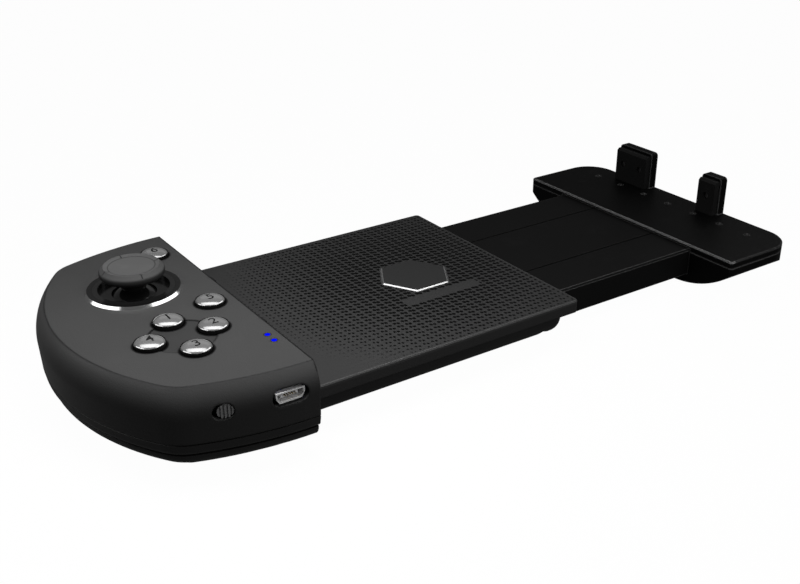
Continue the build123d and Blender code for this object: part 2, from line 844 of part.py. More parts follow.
def click_switch():
    half = click_switch_size / 2
    middle = cradle_inner / 2 - half
    top = cradle_bottom_z - click_travel - seat_gap
    low, high = middle - half, middle + half
    body = block(low, high, low, high, housing_floor_z, top - spring_wire)
    return at_stick(body + disc(middle, middle, half / 2, housing_floor_z, top))


def stick_board():
    high = stick_board_z + board_thickness
    board = square(housing_outer + 2 * (sensor_depth + stick_board_margin), stick_board_z, high)
    board -= key_board_room(stick_board_z - cut_over, high + cut_over)
    return board & pad_plate(-shell_wall, stick_board_z, high)


# Boards, battery, lights
def key_board_room(low, high):
    # The room along the far wall that the shoulder keys' board needs.
    depth = key_pin_in + key_switch_depth + 2 * key_board + slide_gap
    reach = key_board_width
    return far_wall(key_middle_x, low) * block(-reach, reach, low - high, 0, -depth, reach)


def main_board():
    far = pad_half_length + pad_reach
    board = pad_plate(-board_inset, board_z, board_top_z)
    board &= block(-far, -seam_wall - board_seam_gap, -far, far, board_z, board_top_z)
    notch = (housing_outer + 2 * sensor_depth) / 2 + board_notch_gap
    low, high = board_z - cut_over, board_top_z + cut_over
    board -= at_stick(block(sensor_depth - notch, notch, sensor_depth - notch, notch, low, high))
    board -= key_board_room(low, high)
    for x, y in pad_screw_places:
        board -= disc(x, y, post_bore, low, high)
    return board


def battery():
    top = cover_floor_z + battery_height
    cell = block(battery_x0, battery_x1, battery_y0, battery_y1, cover_floor_z, top)
    return fillet(cell.edges().filter_by(Axis.X), battery_round)


def led_light_guides():
    low = board_top_z + led_height + seat_gap
    return all_of([disc(x, y, led_radius, low, pad_rise) for x, y in led_places])


def status_leds():
    half = led_size / 2
    chip = block(-half, half, -half, half, board_top_z, board_top_z + led_height)
    return all_of([Pos(x, y) * chip for x, y in led_places])


# Charging socket
usb_z = board_top_z + usb_height / 2
usb_face_y = -pad_half_length - side_bulge + usb_set_back


def usb_outline(shrink):
    half, up = usb_width / 2 - shrink, usb_height / 2 - shrink
    shoulder, foot = up - usb_height / 2, half - usb_taper
    points = [(-half, up), (half, up), (half, shoulder), (foot, -up), (-foot, -up), (-half, shoulder)]
    return make_face(Polyline(points, close=True))


def usb_place(y):
    # Local X along the seam wall's normal, local Y up, local Z into the pad.
    return Plane((usb_x, y, usb_z), x_dir=(1, 0, 0), z_dir=(0, -1, 0))


def usb_socket():
    back_y = usb_face_y + usb_depth
    shell = extrude(usb_place(back_y) * usb_outline(0), usb_depth)
    hollow = extrude(usb_place(back_y - usb_wall) * usb_outline(usb_wall), usb_depth)
    return shell - hollow


def usb_insert():
    back_y = usb_face_y + usb_depth - usb_wall
    plug = extrude(usb_place(back_y) * usb_outline(usb_wall + 2 * seat_gap), usb_lid)
    half, up = usb_tongue_width / 2, usb_tongue / 2
    tongue_front = back_y - usb_tongue_length
    return plug + block(usb_x - half, usb_x + half, tongue_front, back_y, usb_z - up, usb_z + up)


def usb_slot():
    width, height = usb_width + 2 * usb_slot_gap, usb_height + 2 * usb_slot_gap
    depth = usb_depth + usb_set_back + cut_over
    return usb_place(usb_face_y + usb_depth) * rounded_slot(width, height, depth)


# Power switch, in the near wall's own plane
def switch_slot():
    slot = rounded_slot(switch_slot_width, switch_slot_height, side_bulge + cut_over)
    return near_wall(switch_along, switch_z) * Pos(0, 0, -switch_plate_in) * slot


def switch_shift():
    return (switch_slot_width - switch_knob_width) / 2 - slide_gap


def power_switch_knob():
    outer = side_bulge - switch_recess
    knob = rounded_slot(switch_knob_width, switch_knob_height, outer + switch_plate_in)
    knob = Pos(0, 0, -switch_plate_in) * knob
    spacing = switch_knob_height / switch_ribs
    for index in range(switch_ribs):
        place = (index - (switch_ribs - 1) / 2) * spacing
        half = spacing * switch_rib_share / 2
        low, high = outer - switch_rib_depth, outer + cut_over
        groove = block(-half, half, -switch_knob_height, switch_knob_height, low, high)
        knob -= Pos(place, 0) * groove
    half_wide, half_high = switch_plate_width / 2, switch_z - board_top_z - slide_gap
    inner = -switch_plate_in - switch_plate
    plate = block(-half_wide, half_wide, -half_high, half_high, inner, -switch_plate_in)
    half_fork = switch_fork_width / 2
    fork = block(-half_fork, half_fork, -half_fork, half_fork, inner - switch_fork_depth, inner)
    return near_wall(switch_along, switch_z) * Pos(switch_shift(), 0, 0) * (knob + plate + fork)


def power_switch_body():
    outer = -switch_plate_in - switch_plate - slide_gap
    half, up = switch_body_width / 2, switch_z - board_top_z
    body = block(-half, half, -up, up - switch_fork_width / 2, outer - switch_body_depth, outer)
    fork = switch_fork_width / 2 + slide_gap
    reach = fork + switch_shift() + switch_travel
    body -= block(-reach, reach, -fork, fork, outer - switch_fork_depth - slide_gap, outer + cut_over)
    return near_wall(switch_along, switch_z) * body


# Shoulder keys
def key_window():
    low, high = key_z0 - key_gap, key_z1 + key_gap
    start, end = key_outer_x0 - key_gap, key_inner_x1 + key_gap
    return far_sector(start, end, -key_flange_in - shell_wall, key_out + cut_over, low, high)


def shoulder_key(x0, x1, x_pin, x_nose):
    face = far_sector(x0, x1, -key_flange_in - key_flange / 2, key_out, key_z0, key_z1)
    outer_edges = face.edges().group_by(SortBy.LENGTH)[-1]
    outer_edges += face.faces().sort_by(Axis.Y)[-1].edges().filter_by(Axis.Z)
    face = fillet(outer_edges, key_round)
    low, high = key_z0 - key_flange_lip, key_z1 + key_flange_lip
    hidden = key_flange_lip
    pin_at_start = x_pin < x_nose
    start = x0 - hidden if pin_at_start else x0
    end = x1 if pin_at_start else x1 + hidden - seam_wall / 2
    flange = far_sector(start, end, -key_flange_in - key_flange, -key_flange_in, low, high)
    pin_x, pin_y = far_point(x_pin, -key_pin_in)
    half = key_nose_width / 2
    arm = far_sector(x_pin - half, x_pin + half, -key_pin_in, -key_flange_in - key_flange / 2, low, high)
    arm += disc(pin_x, pin_y, key_barrel_radius, low, high)
    inner = -key_flange_in - key_flange
    nose_low, nose_high = low - key_z0, high - key_nose_width
    nose = far_sector(x_nose - half, x_nose + half, inner - key_nose_length, inner, nose_low, nose_high)
    key = face + flange + arm + nose
    return key - disc(pin_x, pin_y, key_pin_radius + pin_gap, low - cut_over, high + cut_over)


def key_pins():
    return all_of([disc(x, y, key_pin_radius, key_pin_z0, key_pin_z1) for x, y in key_pin_places])


def key_switches():
    half = key_switch_size / 2
    middle_z = (key_z0 + key_z1) / 2
    outer = -key_flange_in - key_flange - key_nose_length - key_press - slide_gap
    inner = -key_pin_in - key_switch_depth - key_board / 2
    switches = []
    for x in key_nose_x_places:
        along = x - key_middle_x
        body = block(along - half, along + half, -half, half, inner, outer - spring_wire)
        body += Pos(along, 0) * disc(0, 0, half / 2, inner, outer)
        switches.append(far_wall(key_middle_x, middle_z) * body)
    return all_of(switches)


def key_board_plate():
    middle_z = (key_z0 + key_z1) / 2
    outer = -key_pin_in - key_switch_depth - key_board / 2
    half = key_board_width / 2
    up = (key_z1 - key_z0) / 2 + key_flange_lip + slide_gap
    plate = block(-half, half, -up, up, outer - key_board, outer)
    return far_wall(key_middle_x, middle_z) * plate


# Phone tray
def tongue(side, grow, root):
    # One of the two tongues that carry the tray inside the pad's lower cover.
    y0, y1 = sorted((side * tongue_inner_y, side * tongue_outer_y))
    top = -tongue_top_drop + grow
    return block(-tongue_reach - grow, root, y0 - grow, y1 + grow, top - tongue_thickness - 2 * grow, top)


def tray_top():
    half = tray_half_width
    slab = block(0, tray_length, -half, half, -tray_edge, 0)
    outer_corners = slab.faces().sort_by(Axis.X)[-1].edges().filter_by(Axis.Z)
    slab = fillet(outer_corners, tray_corner_radius)
    slab = chamfer(slab.edges().group_by(Axis.Z)[-1] - slab.edges().group_by(Axis.X)[0], edge_break)
    channel = slide_half_width + slide_gap
    slab -= block(-cut_over, tray_length + cut_over, -channel, channel, -tray_edge - cut_over, -tray_skin)
    slab -= ear_channel(-tray_edge - cut_over, -tray_skin)
    slab -= badge_form(seat_gap, -badge_sink, cut_over)
    for x, y in tray_screw_places:
        slab -= disc(x, y, screw_radius + seat_gap / 2, -tray_edge - cut_over, -edge_break - screw_head)
    return slab


def badge_form(grow, z0, z1):
    return Pos(badge_x, 0, z0) * extrude(RegularPolygon(badge_radius + grow, 6), z1 - z0)


def hex_badge():
    badge = badge_form(0, -badge_sink, badge_thickness - badge_sink)
    return chamfer(badge.edges().group_by(Axis.Z)[-1], badge_bevel)


def ear_channel(z0, z1):
    # The wider stretch of the channel that the slide's stop ears run in.
    half = slide_half_width + ear_reach + slide_gap
    return block(tray_body_set_back, tray_length - ear_channel_in, -half, half, z0, z1)


def tray_bottom():
    half, low, high = tray_body_half_width, -tray_floor_drop, -tray_edge
    end_x = tray_length - tray_body_set_back
    body = block(0, end_x, -half, half, low, high)
    body = fillet(body.edges().filter_by(Axis.X).group_by(Axis.Z)[0], tray_body_radius)
    body = fillet(body.faces().sort_by(Axis.X)[-1].edges().filter_by(Axis.Z), tray_body_end_radius)
    channel = slide_half_width + slide_gap
    floor = low + tray_floor
    body -= block(tray_pocket_wall, end_x + cut_over, -channel, channel, floor, high + cut_over)
    inside = block(tray_pocket_wall, tray_length, -half, half, low, high + cut_over)
    body -= ear_channel(floor, high + cut_over) & inside
    body -= block(brake_x - brake_length / 2 - seat_gap, brake_x + brake_length / 2 + seat_gap,
                  -brake_width / 2 - seat_gap, brake_width / 2 + seat_gap, floor - brake_sink, high)
    for x, y in tray_screw_places:
        body -= disc(x, y, post_bore, low - cut_over, high + cut_over)
        body -= disc(x, y, screw_head_radius + screw_bore_gap, low - cut_over, high - tray_edge)
    for side in (-1, 1):
        body += tongue(side, 0, tray_pocket_wall)
    return body


def tray_screws():
    seat, tip = -2 * tray_edge, -edge_break - 2 * screw_head
    return all_of([screw(x, y, seat, tip, screw_head) for x, y in tray_screw_places])


def bumper(y, grow):
    half = bumper_width / 2 + grow
    front = 0 if grow else bumper_proud
    pad = block(-bumper_sink - grow, front, y - half, y + half, bumper_low_z - grow, bumper_top_z + grow)
    if grow:
        return pad
    return fillet(pad.faces().sort_by(Axis.X)[-1].edges(), bumper_round)


def wall_bumpers():
    return all_of([bumper(y, 0) for y in bumper_y_places])


# Telescopic slide
def slide_cover():
    half = slide_half_width
    top, low = -slide_top_drop, -slide_bottom_drop
    cover = block(slide_start_x, slide_end_x, -half, half, low, top)
    cover = chamfer(cover.edges().filter_by(Axis.X).group_by(Axis.Z)[-1], slide_edge_bevel)
    inner = half - slide_wall
    start, end = slide_start_x + slide_wall, slide_end_x + cut_over
    cover -= block(start, end, -inner, inner, low - cut_over, top - slide_skin)
    for side in (-1, 1):
        y = side * groove_y
        y0, y1 = y - groove_width / 2, y + groove_width / 2
        x0, x1 = slide_start_x - cut_over, slide_end_x + cut_over
        cover -= block(x0, x1, y0, y1, top - groove_depth, top + cut_over)
        ear_x = slide_start_x + ear_from_end
        y0, y1 = sorted((side * (half - slide_wall), side * (half + ear_reach)))
        cover += block(ear_x, ear_x + ear_length, y0, y1, low, top - slide_edge_bevel)
    for x, y in slide_screw_places():
        cover += disc(x, y, slide_post_radius, low + slide_base, top - slide_skin)
        cover -= disc(x, y, screw_radius + seat_gap / 2, low, top - slide_skin)
    return cover


def slide_screw_places():
    xs = (slide_start_x + slide_wall + slide_screw_inset, clamp_front_x - slide_screw_inset)
    return [(x, side * slide_screw_y) for x in xs for side in (-1, 1)]


def slide_floor():
    half = slide_half_width - slide_wall - seat_gap
    low = -slide_bottom_drop
    plate = block(slide_start_x + slide_wall + seat_gap, slide_end_x, -half, half, low, low + slide_base)
    for x, y in slide_screw_places():
        plate -= disc(x, y, post_bore, low - cut_over, low + slide_base + cut_over)
        plate -= disc(x, y, screw_head_radius + screw_bore_gap, low - cut_over, low + slide_base / 2)
    return plate


def slide_screws():
    seat, tip = -slide_bottom_drop + slide_base / 2, -slide_top_drop - slide_skin - screw_head
    return all_of([screw(x, y, seat, tip, slide_base / 2 - seat_gap) for x, y in slide_screw_places()])


def slide_rails():
    low = -slide_bottom_drop + slide_base
    rails = []
    for side in (-1, 1):
        y = side * rail_y
        start, end = slide_start_x + 2 * slide_wall, slide_end_x - slide_wall
        rails.append(block(start, end, y - rail_width / 2, y + rail_width / 2, low, low + rail_height))
    return all_of(rails)


def brake_pad():
    low = -tray_floor_drop + tray_floor - brake_sink
    high = -slide_bottom_drop - seat_gap
    long_half, wide_half = brake_length / 2, brake_width / 2
    return block(brake_x - long_half, brake_x + long_half, -wide_half, wide_half, low, high)


# Clamp
def clamp_plan(grow, z0, z1):
    front, back, half = clamp_front_x - grow, clamp_back_x + grow, clamp_half_length + grow
    slab = block(front, back, -half, half, z0, z1)
    slab = fillet(slab.faces().sort_by(Axis.X)[-1].edges().filter_by(Axis.Z), clamp_corner_radius + grow)
    return fillet(slab.faces().sort_by(Axis.X)[0].edges().filter_by(Axis.Z), clamp_front_corner)


def clamp_drop_form(grow):
    # The underside: flat in the middle, rounded up towards both ends and towards the back.
    half = clamp_half_length + grow
    drop = clamp_drop + grow
    fall = drop - clamp_end_drop
    flat = clamp_belly_half_share * half
    depth = clamp_back_x - clamp_front_x + grow
    x0, x1 = clamp_front_x - grow, clamp_back_x + grow

    def end_point(side, shares):
        return (x0, side * shares[0] * half, -drop + fall * (1 - shares[1]))

    sides = []
    for side in (-1, 1):
        tip = (x0, side * half, -clamp_end_drop)
        belly = (x0, side * flat, -drop)
        middle = (x0, side * clamp_shoulder_shares[0] * half, -clamp_end_drop - clamp_shoulder_shares[1] * fall)
        sides.append(ThreePointArc(belly, middle, tip))
    near_top, far_top = (x0, -half, 0), (x0, half, 0)
    elevation = sides + [
        Line((x0, -flat, -drop), (x0, flat, -drop)),
        Line((x0, -half, -clamp_end_drop), near_top),
        Line(near_top, far_top),
        Line(far_top, (x0, half, -clamp_end_drop)),
    ]
    form = extrude(make_face(elevation), x1 - x0, dir=(1, 0, 0))
    back_x = x0 + clamp_back_flat_share * depth
    round_x = x0 + clamp_back_round_shares[0] * depth
    round_z = -clamp_nose_height - clamp_back_round_shares[1] * (drop - clamp_nose_height)
    profile = [
        Line((x0, -half, 0), (x0, -half, -drop)),
        Line((x0, -half, -drop), (back_x, -half, -drop)),
        ThreePointArc((back_x, -half, -drop), (round_x, -half, round_z), (x1, -half, -clamp_nose_height)),
        Line((x1, -half, -clamp_nose_height), (x1, -half, 0)),
        Line((x1, -half, 0), (x0, -half, 0)),
    ]
    return form & extrude(make_face(profile), 2 * half, dir=(0, 1, 0))


def hook_ranges():
    return ((wide_hook_y, wide_hook_width), (narrow_hook_y, narrow_hook_width))


def hook_holes():
    return (wide_hook_y - wide_hole_half_pitch, wide_hook_y + wide_hole_half_pitch, narrow_hook_y)


def clamp_top():
    low, high = -clamp_parting_drop, -clamp_top_drop
    plate = clamp_plan(0, low, high)
    plate = chamfer(plate.edges().group_by(Axis.Z)[-1], edge_break)
    for y, width in hook_ranges():
        half = width / 2
        arm = block(hook_back_x - hook_plate, hook_back_x, y - half, y + half, low, hook_top_z)
        arm = fillet(arm.edges().filter_by(Axis.X).group_by(Axis.Z)[-1], hook_round)
        plate += arm
    for y in hook_holes():
        screw_end = hook_back_x - hook_plate + hook_screw_reach
        start = hook_back_x - hook_plate - cut_over
        plate -= along_x(y, hook_hole_z, screw_radius / 2 + seat_gap / 2, start, screw_end)
    for y in nub_places():
        plate -= disc(nub_x, y, nub_radius + seat_gap / 2, high - nub_sink, high + cut_over)
    channel = slide_half_width + seat_gap
    front, back = clamp_front_x - cut_over, slide_end_x + seat_gap
    plate -= block(front, back, -channel, channel, low - cut_over, -slide_top_drop + seat_gap)
    for x, y in clamp_screw_places:
        post = disc(x, y, post_radius, low - screw_head, low)
        plate += post
        plate -= disc(x, y, screw_radius + seat_gap / 2, low - screw_head - cut_over, high - screw_head)
    return plate


def clamp_bottom():
    high = -clamp_parting_drop
    outer = clamp_plan(0, -clamp_drop, high) & clamp_drop_form(0)
    inner = clamp_plan(-clamp_wall, -clamp_drop, high + cut_over) & clamp_drop_form(-clamp_wall)
    cover = outer - inner
    for x, y in clamp_screw_places:
        cover += disc(x, y, post_radius, -clamp_drop, high - screw_head) & outer
        cover -= disc(x, y, post_bore, -clamp_drop - cut_over, high + cut_over)
        top = -2 * clamp_end_drop + clamp_parting_drop
        cover -= disc(x, y, screw_head_radius + screw_bore_gap, -clamp_drop - cut_over, top)
    channel = slide_half_width + seat_gap
    front, back = clamp_front_x - cut_over, slide_end_x + seat_gap
    cover -= block(front, back, -channel, channel, -slide_bottom_drop - seat_gap, 0)
    for x, y in clamp_foot_places():
        cover -= disc(x, y, clamp_foot_radius + seat_gap, -clamp_drop - cut_over, -clamp_drop + foot_sink)
    return cover


def clamp_foot_places():
    return [(clamp_foot_x, side * clamp_foot_half_pitch) for side in (-1, 1)]


def clamp_feet():
    top = -clamp_drop + foot_sink
    return all_of([disc(x, y, clamp_foot_radius, -floor_drop, top) for x, y in clamp_foot_places()])


def clamp_screws():
    seat, tip = -2 * clamp_end_drop + clamp_parting_drop, -clamp_top_drop - 2 * screw_head
    return all_of([screw(x, y, seat, tip, screw_head) for x, y in clamp_screw_places])


def along_x(y, z, radius, x0, x1):
    return Pos((x0 + x1) / 2, y, z) * Rot(0, 90, 0) * Cylinder(radius, x1 - x0)


def hook_pad_piece(y, width, holes):
    half = width / 2 - hook_pad_margin
    front, back = hook_front_x, hook_back_x - hook_plate
    low, high = -clamp_top_drop, hook_top_z - hook_pad_top_drop
    pad = block(front, back, y - half, y + half, low, high)
    top_front = pad.faces().sort_by(Axis.X)[0].edges().sort_by(Axis.Z)[-1]
    pad = chamfer([top_front], hook_pad_bevel)
    for hole_y in holes:
        floor = front + hook_screw_sink + screw_head / 2
        pad -= along_x(hole_y, hook_hole_z, hook_hole_radius, front - cut_over, floor)
        pad -= along_x(hole_y, hook_hole_z, screw_radius / 2 + seat_gap / 2, front, back + cut_over)
    return pad


def hook_pad_screws():
    screws = []
    for y in hook_holes():
        face = hook_front_x + hook_screw_sink
        head = along_x(y, hook_hole_z, hook_hole_radius - seat_gap, face, face + screw_head / 2)
        tip = hook_back_x - hook_plate + hook_screw_reach - seat_gap
        shank = along_x(y, hook_hole_z, screw_radius / 2, face + screw_head / 2, tip)
        screws.append(head + shank)
    return all_of(screws)


def nub_places():
    return [(index - (nub_count - 1) / 2) * nub_pitch for index in range(nub_count)]


def grip_nubs():
    # Rubber pegs with a domed top.
    high, top = -clamp_top_drop, nub_proud - clamp_top_drop
    shoulder = nub_radius * sqrt(1 / 2)
    ball = (nub_radius**2 + nub_proud**2) / (2 * nub_proud)
    waypoint = (shoulder, 0, top - ball + sqrt(ball**2 - shoulder**2))
    foot, low = (nub_radius, 0, high), high - nub_sink
    edges = [
        Line((0, 0, low), (nub_radius, 0, low)),
        Line((nub_radius, 0, low), foot),
        ThreePointArc(foot, waypoint, (0, 0, top)),
        Line((0, 0, top), (0, 0, low)),
    ]
    peg = revolve(make_face(edges), Axis.Z)
    return all_of([Pos(nub_x, y) * peg for y in nub_places()])


# All nodes, each in its own file
nodes = {
    "upper_shell": upper_shell(),
    "lower_cover": lower_cover(),
    "pad_screws": pad_screws(),
    "pad_feet": pad_feet(),
    "rubber_membrane": rubber_membrane(),
    "stick_ring": stick_ring(),
    "stick_plate": stick_plate(),
    "stick_cap": stick_cap(),
    "stick_shaft": stick_shaft(),
    "gimbal_ring": gimbal_ring(),
    "gimbal_cradle": gimbal_cradle(),
    "stick_housing": stick_housing(),
    "stick_spring": stick_spring(),
    "stick_sensors": stick_sensors(),
    "click_switch": click_switch(),
    "stick_board": stick_board(),
    "main_board": main_board(),
    "battery": battery(),
    "led_light_guides": led_light_guides(),
    "status_leds": status_leds(),
    "usb_socket": usb_socket(),
    "usb_insert": usb_insert(),
    "power_switch_knob": power_switch_knob(),
    "power_switch_body": power_switch_body(),
    "shoulder_key_outer": shoulder_key(
        key_outer_x0, key_outer_x1, key_pin_x_places[0], key_nose_x_places[0]),
    "shoulder_key_inner": shoulder_key(
        key_inner_x0, key_inner_x1, key_pin_x_places[1], key_nose_x_places[1]),
    "key_pins": key_pins(),
    "key_switches": key_switches(),
    "key_board": key_board_plate(),
    "tray_top": tray_top(),
    "hex_badge": hex_badge(),
    "tray_bottom": tray_bottom(),
    "tray_screws": tray_screws(),
    "wall_bumpers": wall_bumpers(),
    "slide_cover": slide_cover(),
    "slide_floor": slide_floor(),
    "slide_screws": slide_screws(),
    "slide_rails": slide_rails(),
    "brake_pad": brake_pad(),
    "clamp_top": clamp_top(),
    "clamp_bottom": clamp_bottom(),
    "clamp_feet": clamp_feet(),
    "clamp_screws": clamp_screws(),
    "hook_pad_wide": hook_pad_piece(wide_hook_y, wide_hook_width, hook_holes()[:2]),
    "hook_pad_narrow": hook_pad_piece(narrow_hook_y, narrow_hook_width, hook_holes()[2:]),
    "hook_pad_screws": hook_pad_screws(),
    "grip_nubs": grip_nubs(),
}
for name, (x, y) in button_places.items():
    nodes[name] = face_button(x, y)

# The origin: on the resting plane, in the middle of the box round the whole object
key_far_x, key_far_y = far_point(key_inner_x1, key_out)
origin_x = (clamp_back_x - pad_reach - side_bulge) / 2
origin_y = (key_far_y - pad_half_length - side_bulge) / 2
to_origin = Pos(-origin_x, -origin_y, floor_drop)

os.makedirs("parts", exist_ok=True)
for name, shape in nodes.items():
    export_step(to_origin * shape, f"parts/{name}.step")
print("origin in drawing axes", origin_x, origin_y, -floor_drop)
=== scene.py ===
import math
import bmesh
import bpy
from mathutils import Matrix, Vector


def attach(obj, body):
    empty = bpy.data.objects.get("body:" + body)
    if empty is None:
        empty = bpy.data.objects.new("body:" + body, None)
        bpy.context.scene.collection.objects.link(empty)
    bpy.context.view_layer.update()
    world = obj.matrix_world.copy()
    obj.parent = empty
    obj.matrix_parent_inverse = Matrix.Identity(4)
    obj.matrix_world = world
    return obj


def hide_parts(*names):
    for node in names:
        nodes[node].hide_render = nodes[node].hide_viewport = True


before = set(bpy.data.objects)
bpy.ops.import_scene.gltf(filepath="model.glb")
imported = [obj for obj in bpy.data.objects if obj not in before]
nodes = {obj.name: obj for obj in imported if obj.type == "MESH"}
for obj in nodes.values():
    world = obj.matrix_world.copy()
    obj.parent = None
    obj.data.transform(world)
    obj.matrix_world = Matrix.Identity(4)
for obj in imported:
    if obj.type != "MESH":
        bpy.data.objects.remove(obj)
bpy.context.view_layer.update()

mm = 0.001
seamX, middleY, trayZ = -0.063769, -0.001076, 0.0145    # seam, middle line and tray top, in the frame's metres


def place(x, y, z):    # millimetres from the seam, the middle line and the tray's top
    return Vector((seamX + x * mm, middleY + y * mm, trayZ + z * mm))


class Wire:
    # a socket that can be written in sums
    def __init__(self, tree, socket):
        self.tree, self.socket = tree, socket

    def calc(self, operation, a, b=None):
        node = self.tree.nodes.new("ShaderNodeMath")
        node.operation = operation
        for slot, value in zip(node.inputs, (a, b)):
            if isinstance(value, Wire):
                self.tree.links.new(value.socket, slot)
            elif value is not None:
                slot.default_value = value
        return Wire(self.tree, node.outputs[0])

    def __add__(self, other): return self.calc("ADD", self, other)
    def __radd__(self, other): return self.calc("ADD", other, self)
    def __sub__(self, other): return self.calc("SUBTRACT", self, other)
    def __rsub__(self, other): return self.calc("SUBTRACT", other, self)
    def __mul__(self, other): return self.calc("MULTIPLY", self, other)
    def __rmul__(self, other): return self.calc("MULTIPLY", other, self)
    def __truediv__(self, other): return self.calc("DIVIDE", self, other)
    def __pow__(self, other): return self.calc("POWER", self, other)
    def __gt__(self, other): return self.calc("GREATER_THAN", self, other)
    def __lt__(self, other): return self.calc("LESS_THAN", self, other)
    def floor(self): return self.calc("FLOOR", self)
    def abs(self): return self.calc("ABSOLUTE", self)
    def most(self, other): return self.calc("MAXIMUM", self, other)


class Finish:
    # one material, with its nodes
    def __init__(self, name):
        self.material = bpy.data.materials.new(name)
        self.material.use_nodes = True
        self.tree = self.material.node_tree
        self.tree.nodes.clear()
        self.output = self.tree.nodes.new("ShaderNodeOutputMaterial")
        self.shader = self.tree.nodes.new("ShaderNodeBsdfPrincipled")
        self.tree.links.new(self.shader.outputs[0], self.output.inputs["Surface"])

    def node(self, kind, settings=None, values=None, out=0):
        node = self.tree.nodes.new(kind)
        for key, value in (settings or {}).items():
            setattr(node, key, value)
        for key, value in (values or {}).items():
            self.link(value, node.inputs[key])
        return Wire(self.tree, node.outputs[out])

    def link(self, value, slot):
        if isinstance(value, Wire):
            self.tree.links.new(value.socket, slot)
        else:
            slot.default_value = value

    def set(self, **values):
        for key, value in values.items():
            self.link(value, self.shader.inputs[key.replace("_", " ")])
        return self

    def position(self):
        return self.node("ShaderNodeTexCoord", out="Object")

    def noise(self, scale, detail=2.0, rough=0.5, where=None):
        values = {"Vector": where or self.position(), "Scale": scale, "Detail": detail, "Roughness": rough}
        return self.node("ShaderNodeTexNoise", None, values)

    def between(self, factor, a, b):    # mixes two colours
        return self.node("ShaderNodeMix", {"data_type": "RGBA"}, {0: factor, 6: a, 7: b}, out=2)

    def step(self, value, low, high):    # 0 below low, 1 above high
        values = {0: value, 1: low, 2: high, 3: 0.0, 4: 1.0}
        return self.node("ShaderNodeMapRange", {"interpolation_type": "SMOOTHSTEP"}, values)

    def local(self):    # millimetres from the seam, the middle line and the tray's top
        node = self.node("ShaderNodeSeparateXYZ", None, {0: self.position()}).socket.node
        start = place(0, 0, 0)
        return [(Wire(self.tree, node.outputs[i]) - start[i]) * 1000.0 for i in range(3)]

    def facingUp(self, low, high):    # 1 where the surface looks up
        normal = self.node("ShaderNodeNewGeometry", out="Normal")
        upward = self.node("ShaderNodeSeparateXYZ", None, {0: normal}, out="Z")
        return self.step(upward, low, high)

    def baseColour(self):
        return Wire(self.tree, self.shader.inputs["Base Color"].links[0].from_socket)

    def bump(self, height, strength, distance):
        values = {"Height": height, "Strength": strength, "Distance": distance}
        return self.node("ShaderNodeBump", None, values)


def grey(value, alpha=1.0):
    return (value, value, value, alpha)


def plasticFinish(name, tone, shade, rough, grain, grainSize, edge=0.0, edgeTone=None, edgeZone=None,
                  coat=0.0, gloss=0.2, edgeReach=0.5, edgeFrom=0.86):
    # moulded plastic: faint cloudy tone, fine eroded grain, rubbed patches and softly rounded edges;
    # edge, edgeTone and edgeZone paint the corners: a pale painted highlight, or a painted shade line where edgeTone
    # is dark; edgeReach is their rounding in mm
    f = Finish(name)
    clouds = f.noise(38.0, 3.0)
    rubbed = f.step(f.noise(120.0, 4.0, 0.6), 0.56, 0.72)
    fine = f.noise(grainSize, 3.0, 0.6)
    base = f.between(clouds, tone, shade)
    worn = tuple(min(1.0, c * 1.2 + 0.002) for c in tone[:3]) + (1.0,)
    colour = f.between(rubbed * 0.35, base, worn)
    bump = f.bump(fine, grain, 0.00012)
    if edge:
        rounded = f.node("ShaderNodeBevel", {"samples": 6}, {"Radius": edgeReach * mm})
        flat = f.node("ShaderNodeNewGeometry", out="Normal")
        agree = f.node("ShaderNodeVectorMath", {"operation": "DOT_PRODUCT"}, {0: rounded, 1: flat}, out="Value")
        corner = 1.0 - f.step(agree, edgeFrom, 0.998)
        if edgeZone:
            corner = corner * edgeZone(f)
        # painted highlight colour for the corners, used unless edgeTone is given
        pale = tuple(min(1.0, c * 4.0 + 0.02) for c in tone[:3]) + (1.0,)
        f.corner = corner * edge
        colour = f.between(f.corner, colour, edgeTone or pale)
        f.link(rounded, bump.socket.node.inputs["Normal"])
    f.set(Base_Color=colour, Roughness=rough + (clouds - 0.5) * 0.04 - rubbed * 0.05, Normal=bump)
    f.shader.inputs["Coat Weight"].default_value = coat
    f.shader.inputs["Specular IOR Level"].default_value = gloss
    return f


def metalFinish(name, tone, shade, rough, streak=(1, 1, 1), grain=0.15):
    # metal: brushed or polished, with light handling marks
    f = Finish(name)
    stretched = f.node("ShaderNodeMapping", None, {"Vector": f.position(), "Scale": streak})
    lines = f.noise(900.0, 3.0, 0.6, stretched)
    smudge = f.noise(160.0, 3.0, 0.55)
    f.set(Base_Color=f.between(smudge, tone, shade),
          Roughness=rough + (smudge - 0.5) * 0.10 + (lines - 0.5) * 0.06,
          Metallic=1.0,
          Normal=f.bump(lines, grain, 0.00004))
    return f


def rubberFinish(name, tone, rough=0.78):
    f = Finish(name)
    fine = f.noise(5200.0, 2.0)
    dust = f.step(f.noise(90.0, 5.0, 0.65), 0.50, 0.80)
    pale = tuple(c * 1.5 + 0.006 for c in tone[:3]) + (1.0,)
    f.set(Base_Color=f.between(dust * 0.5, tone, pale),
          Roughness=rough + dust * 0.08,
          Normal=f.bump(fine, 0.25, 0.00008))
    f.shader.inputs["Specular IOR Level"].default_value = 0.2
    return f


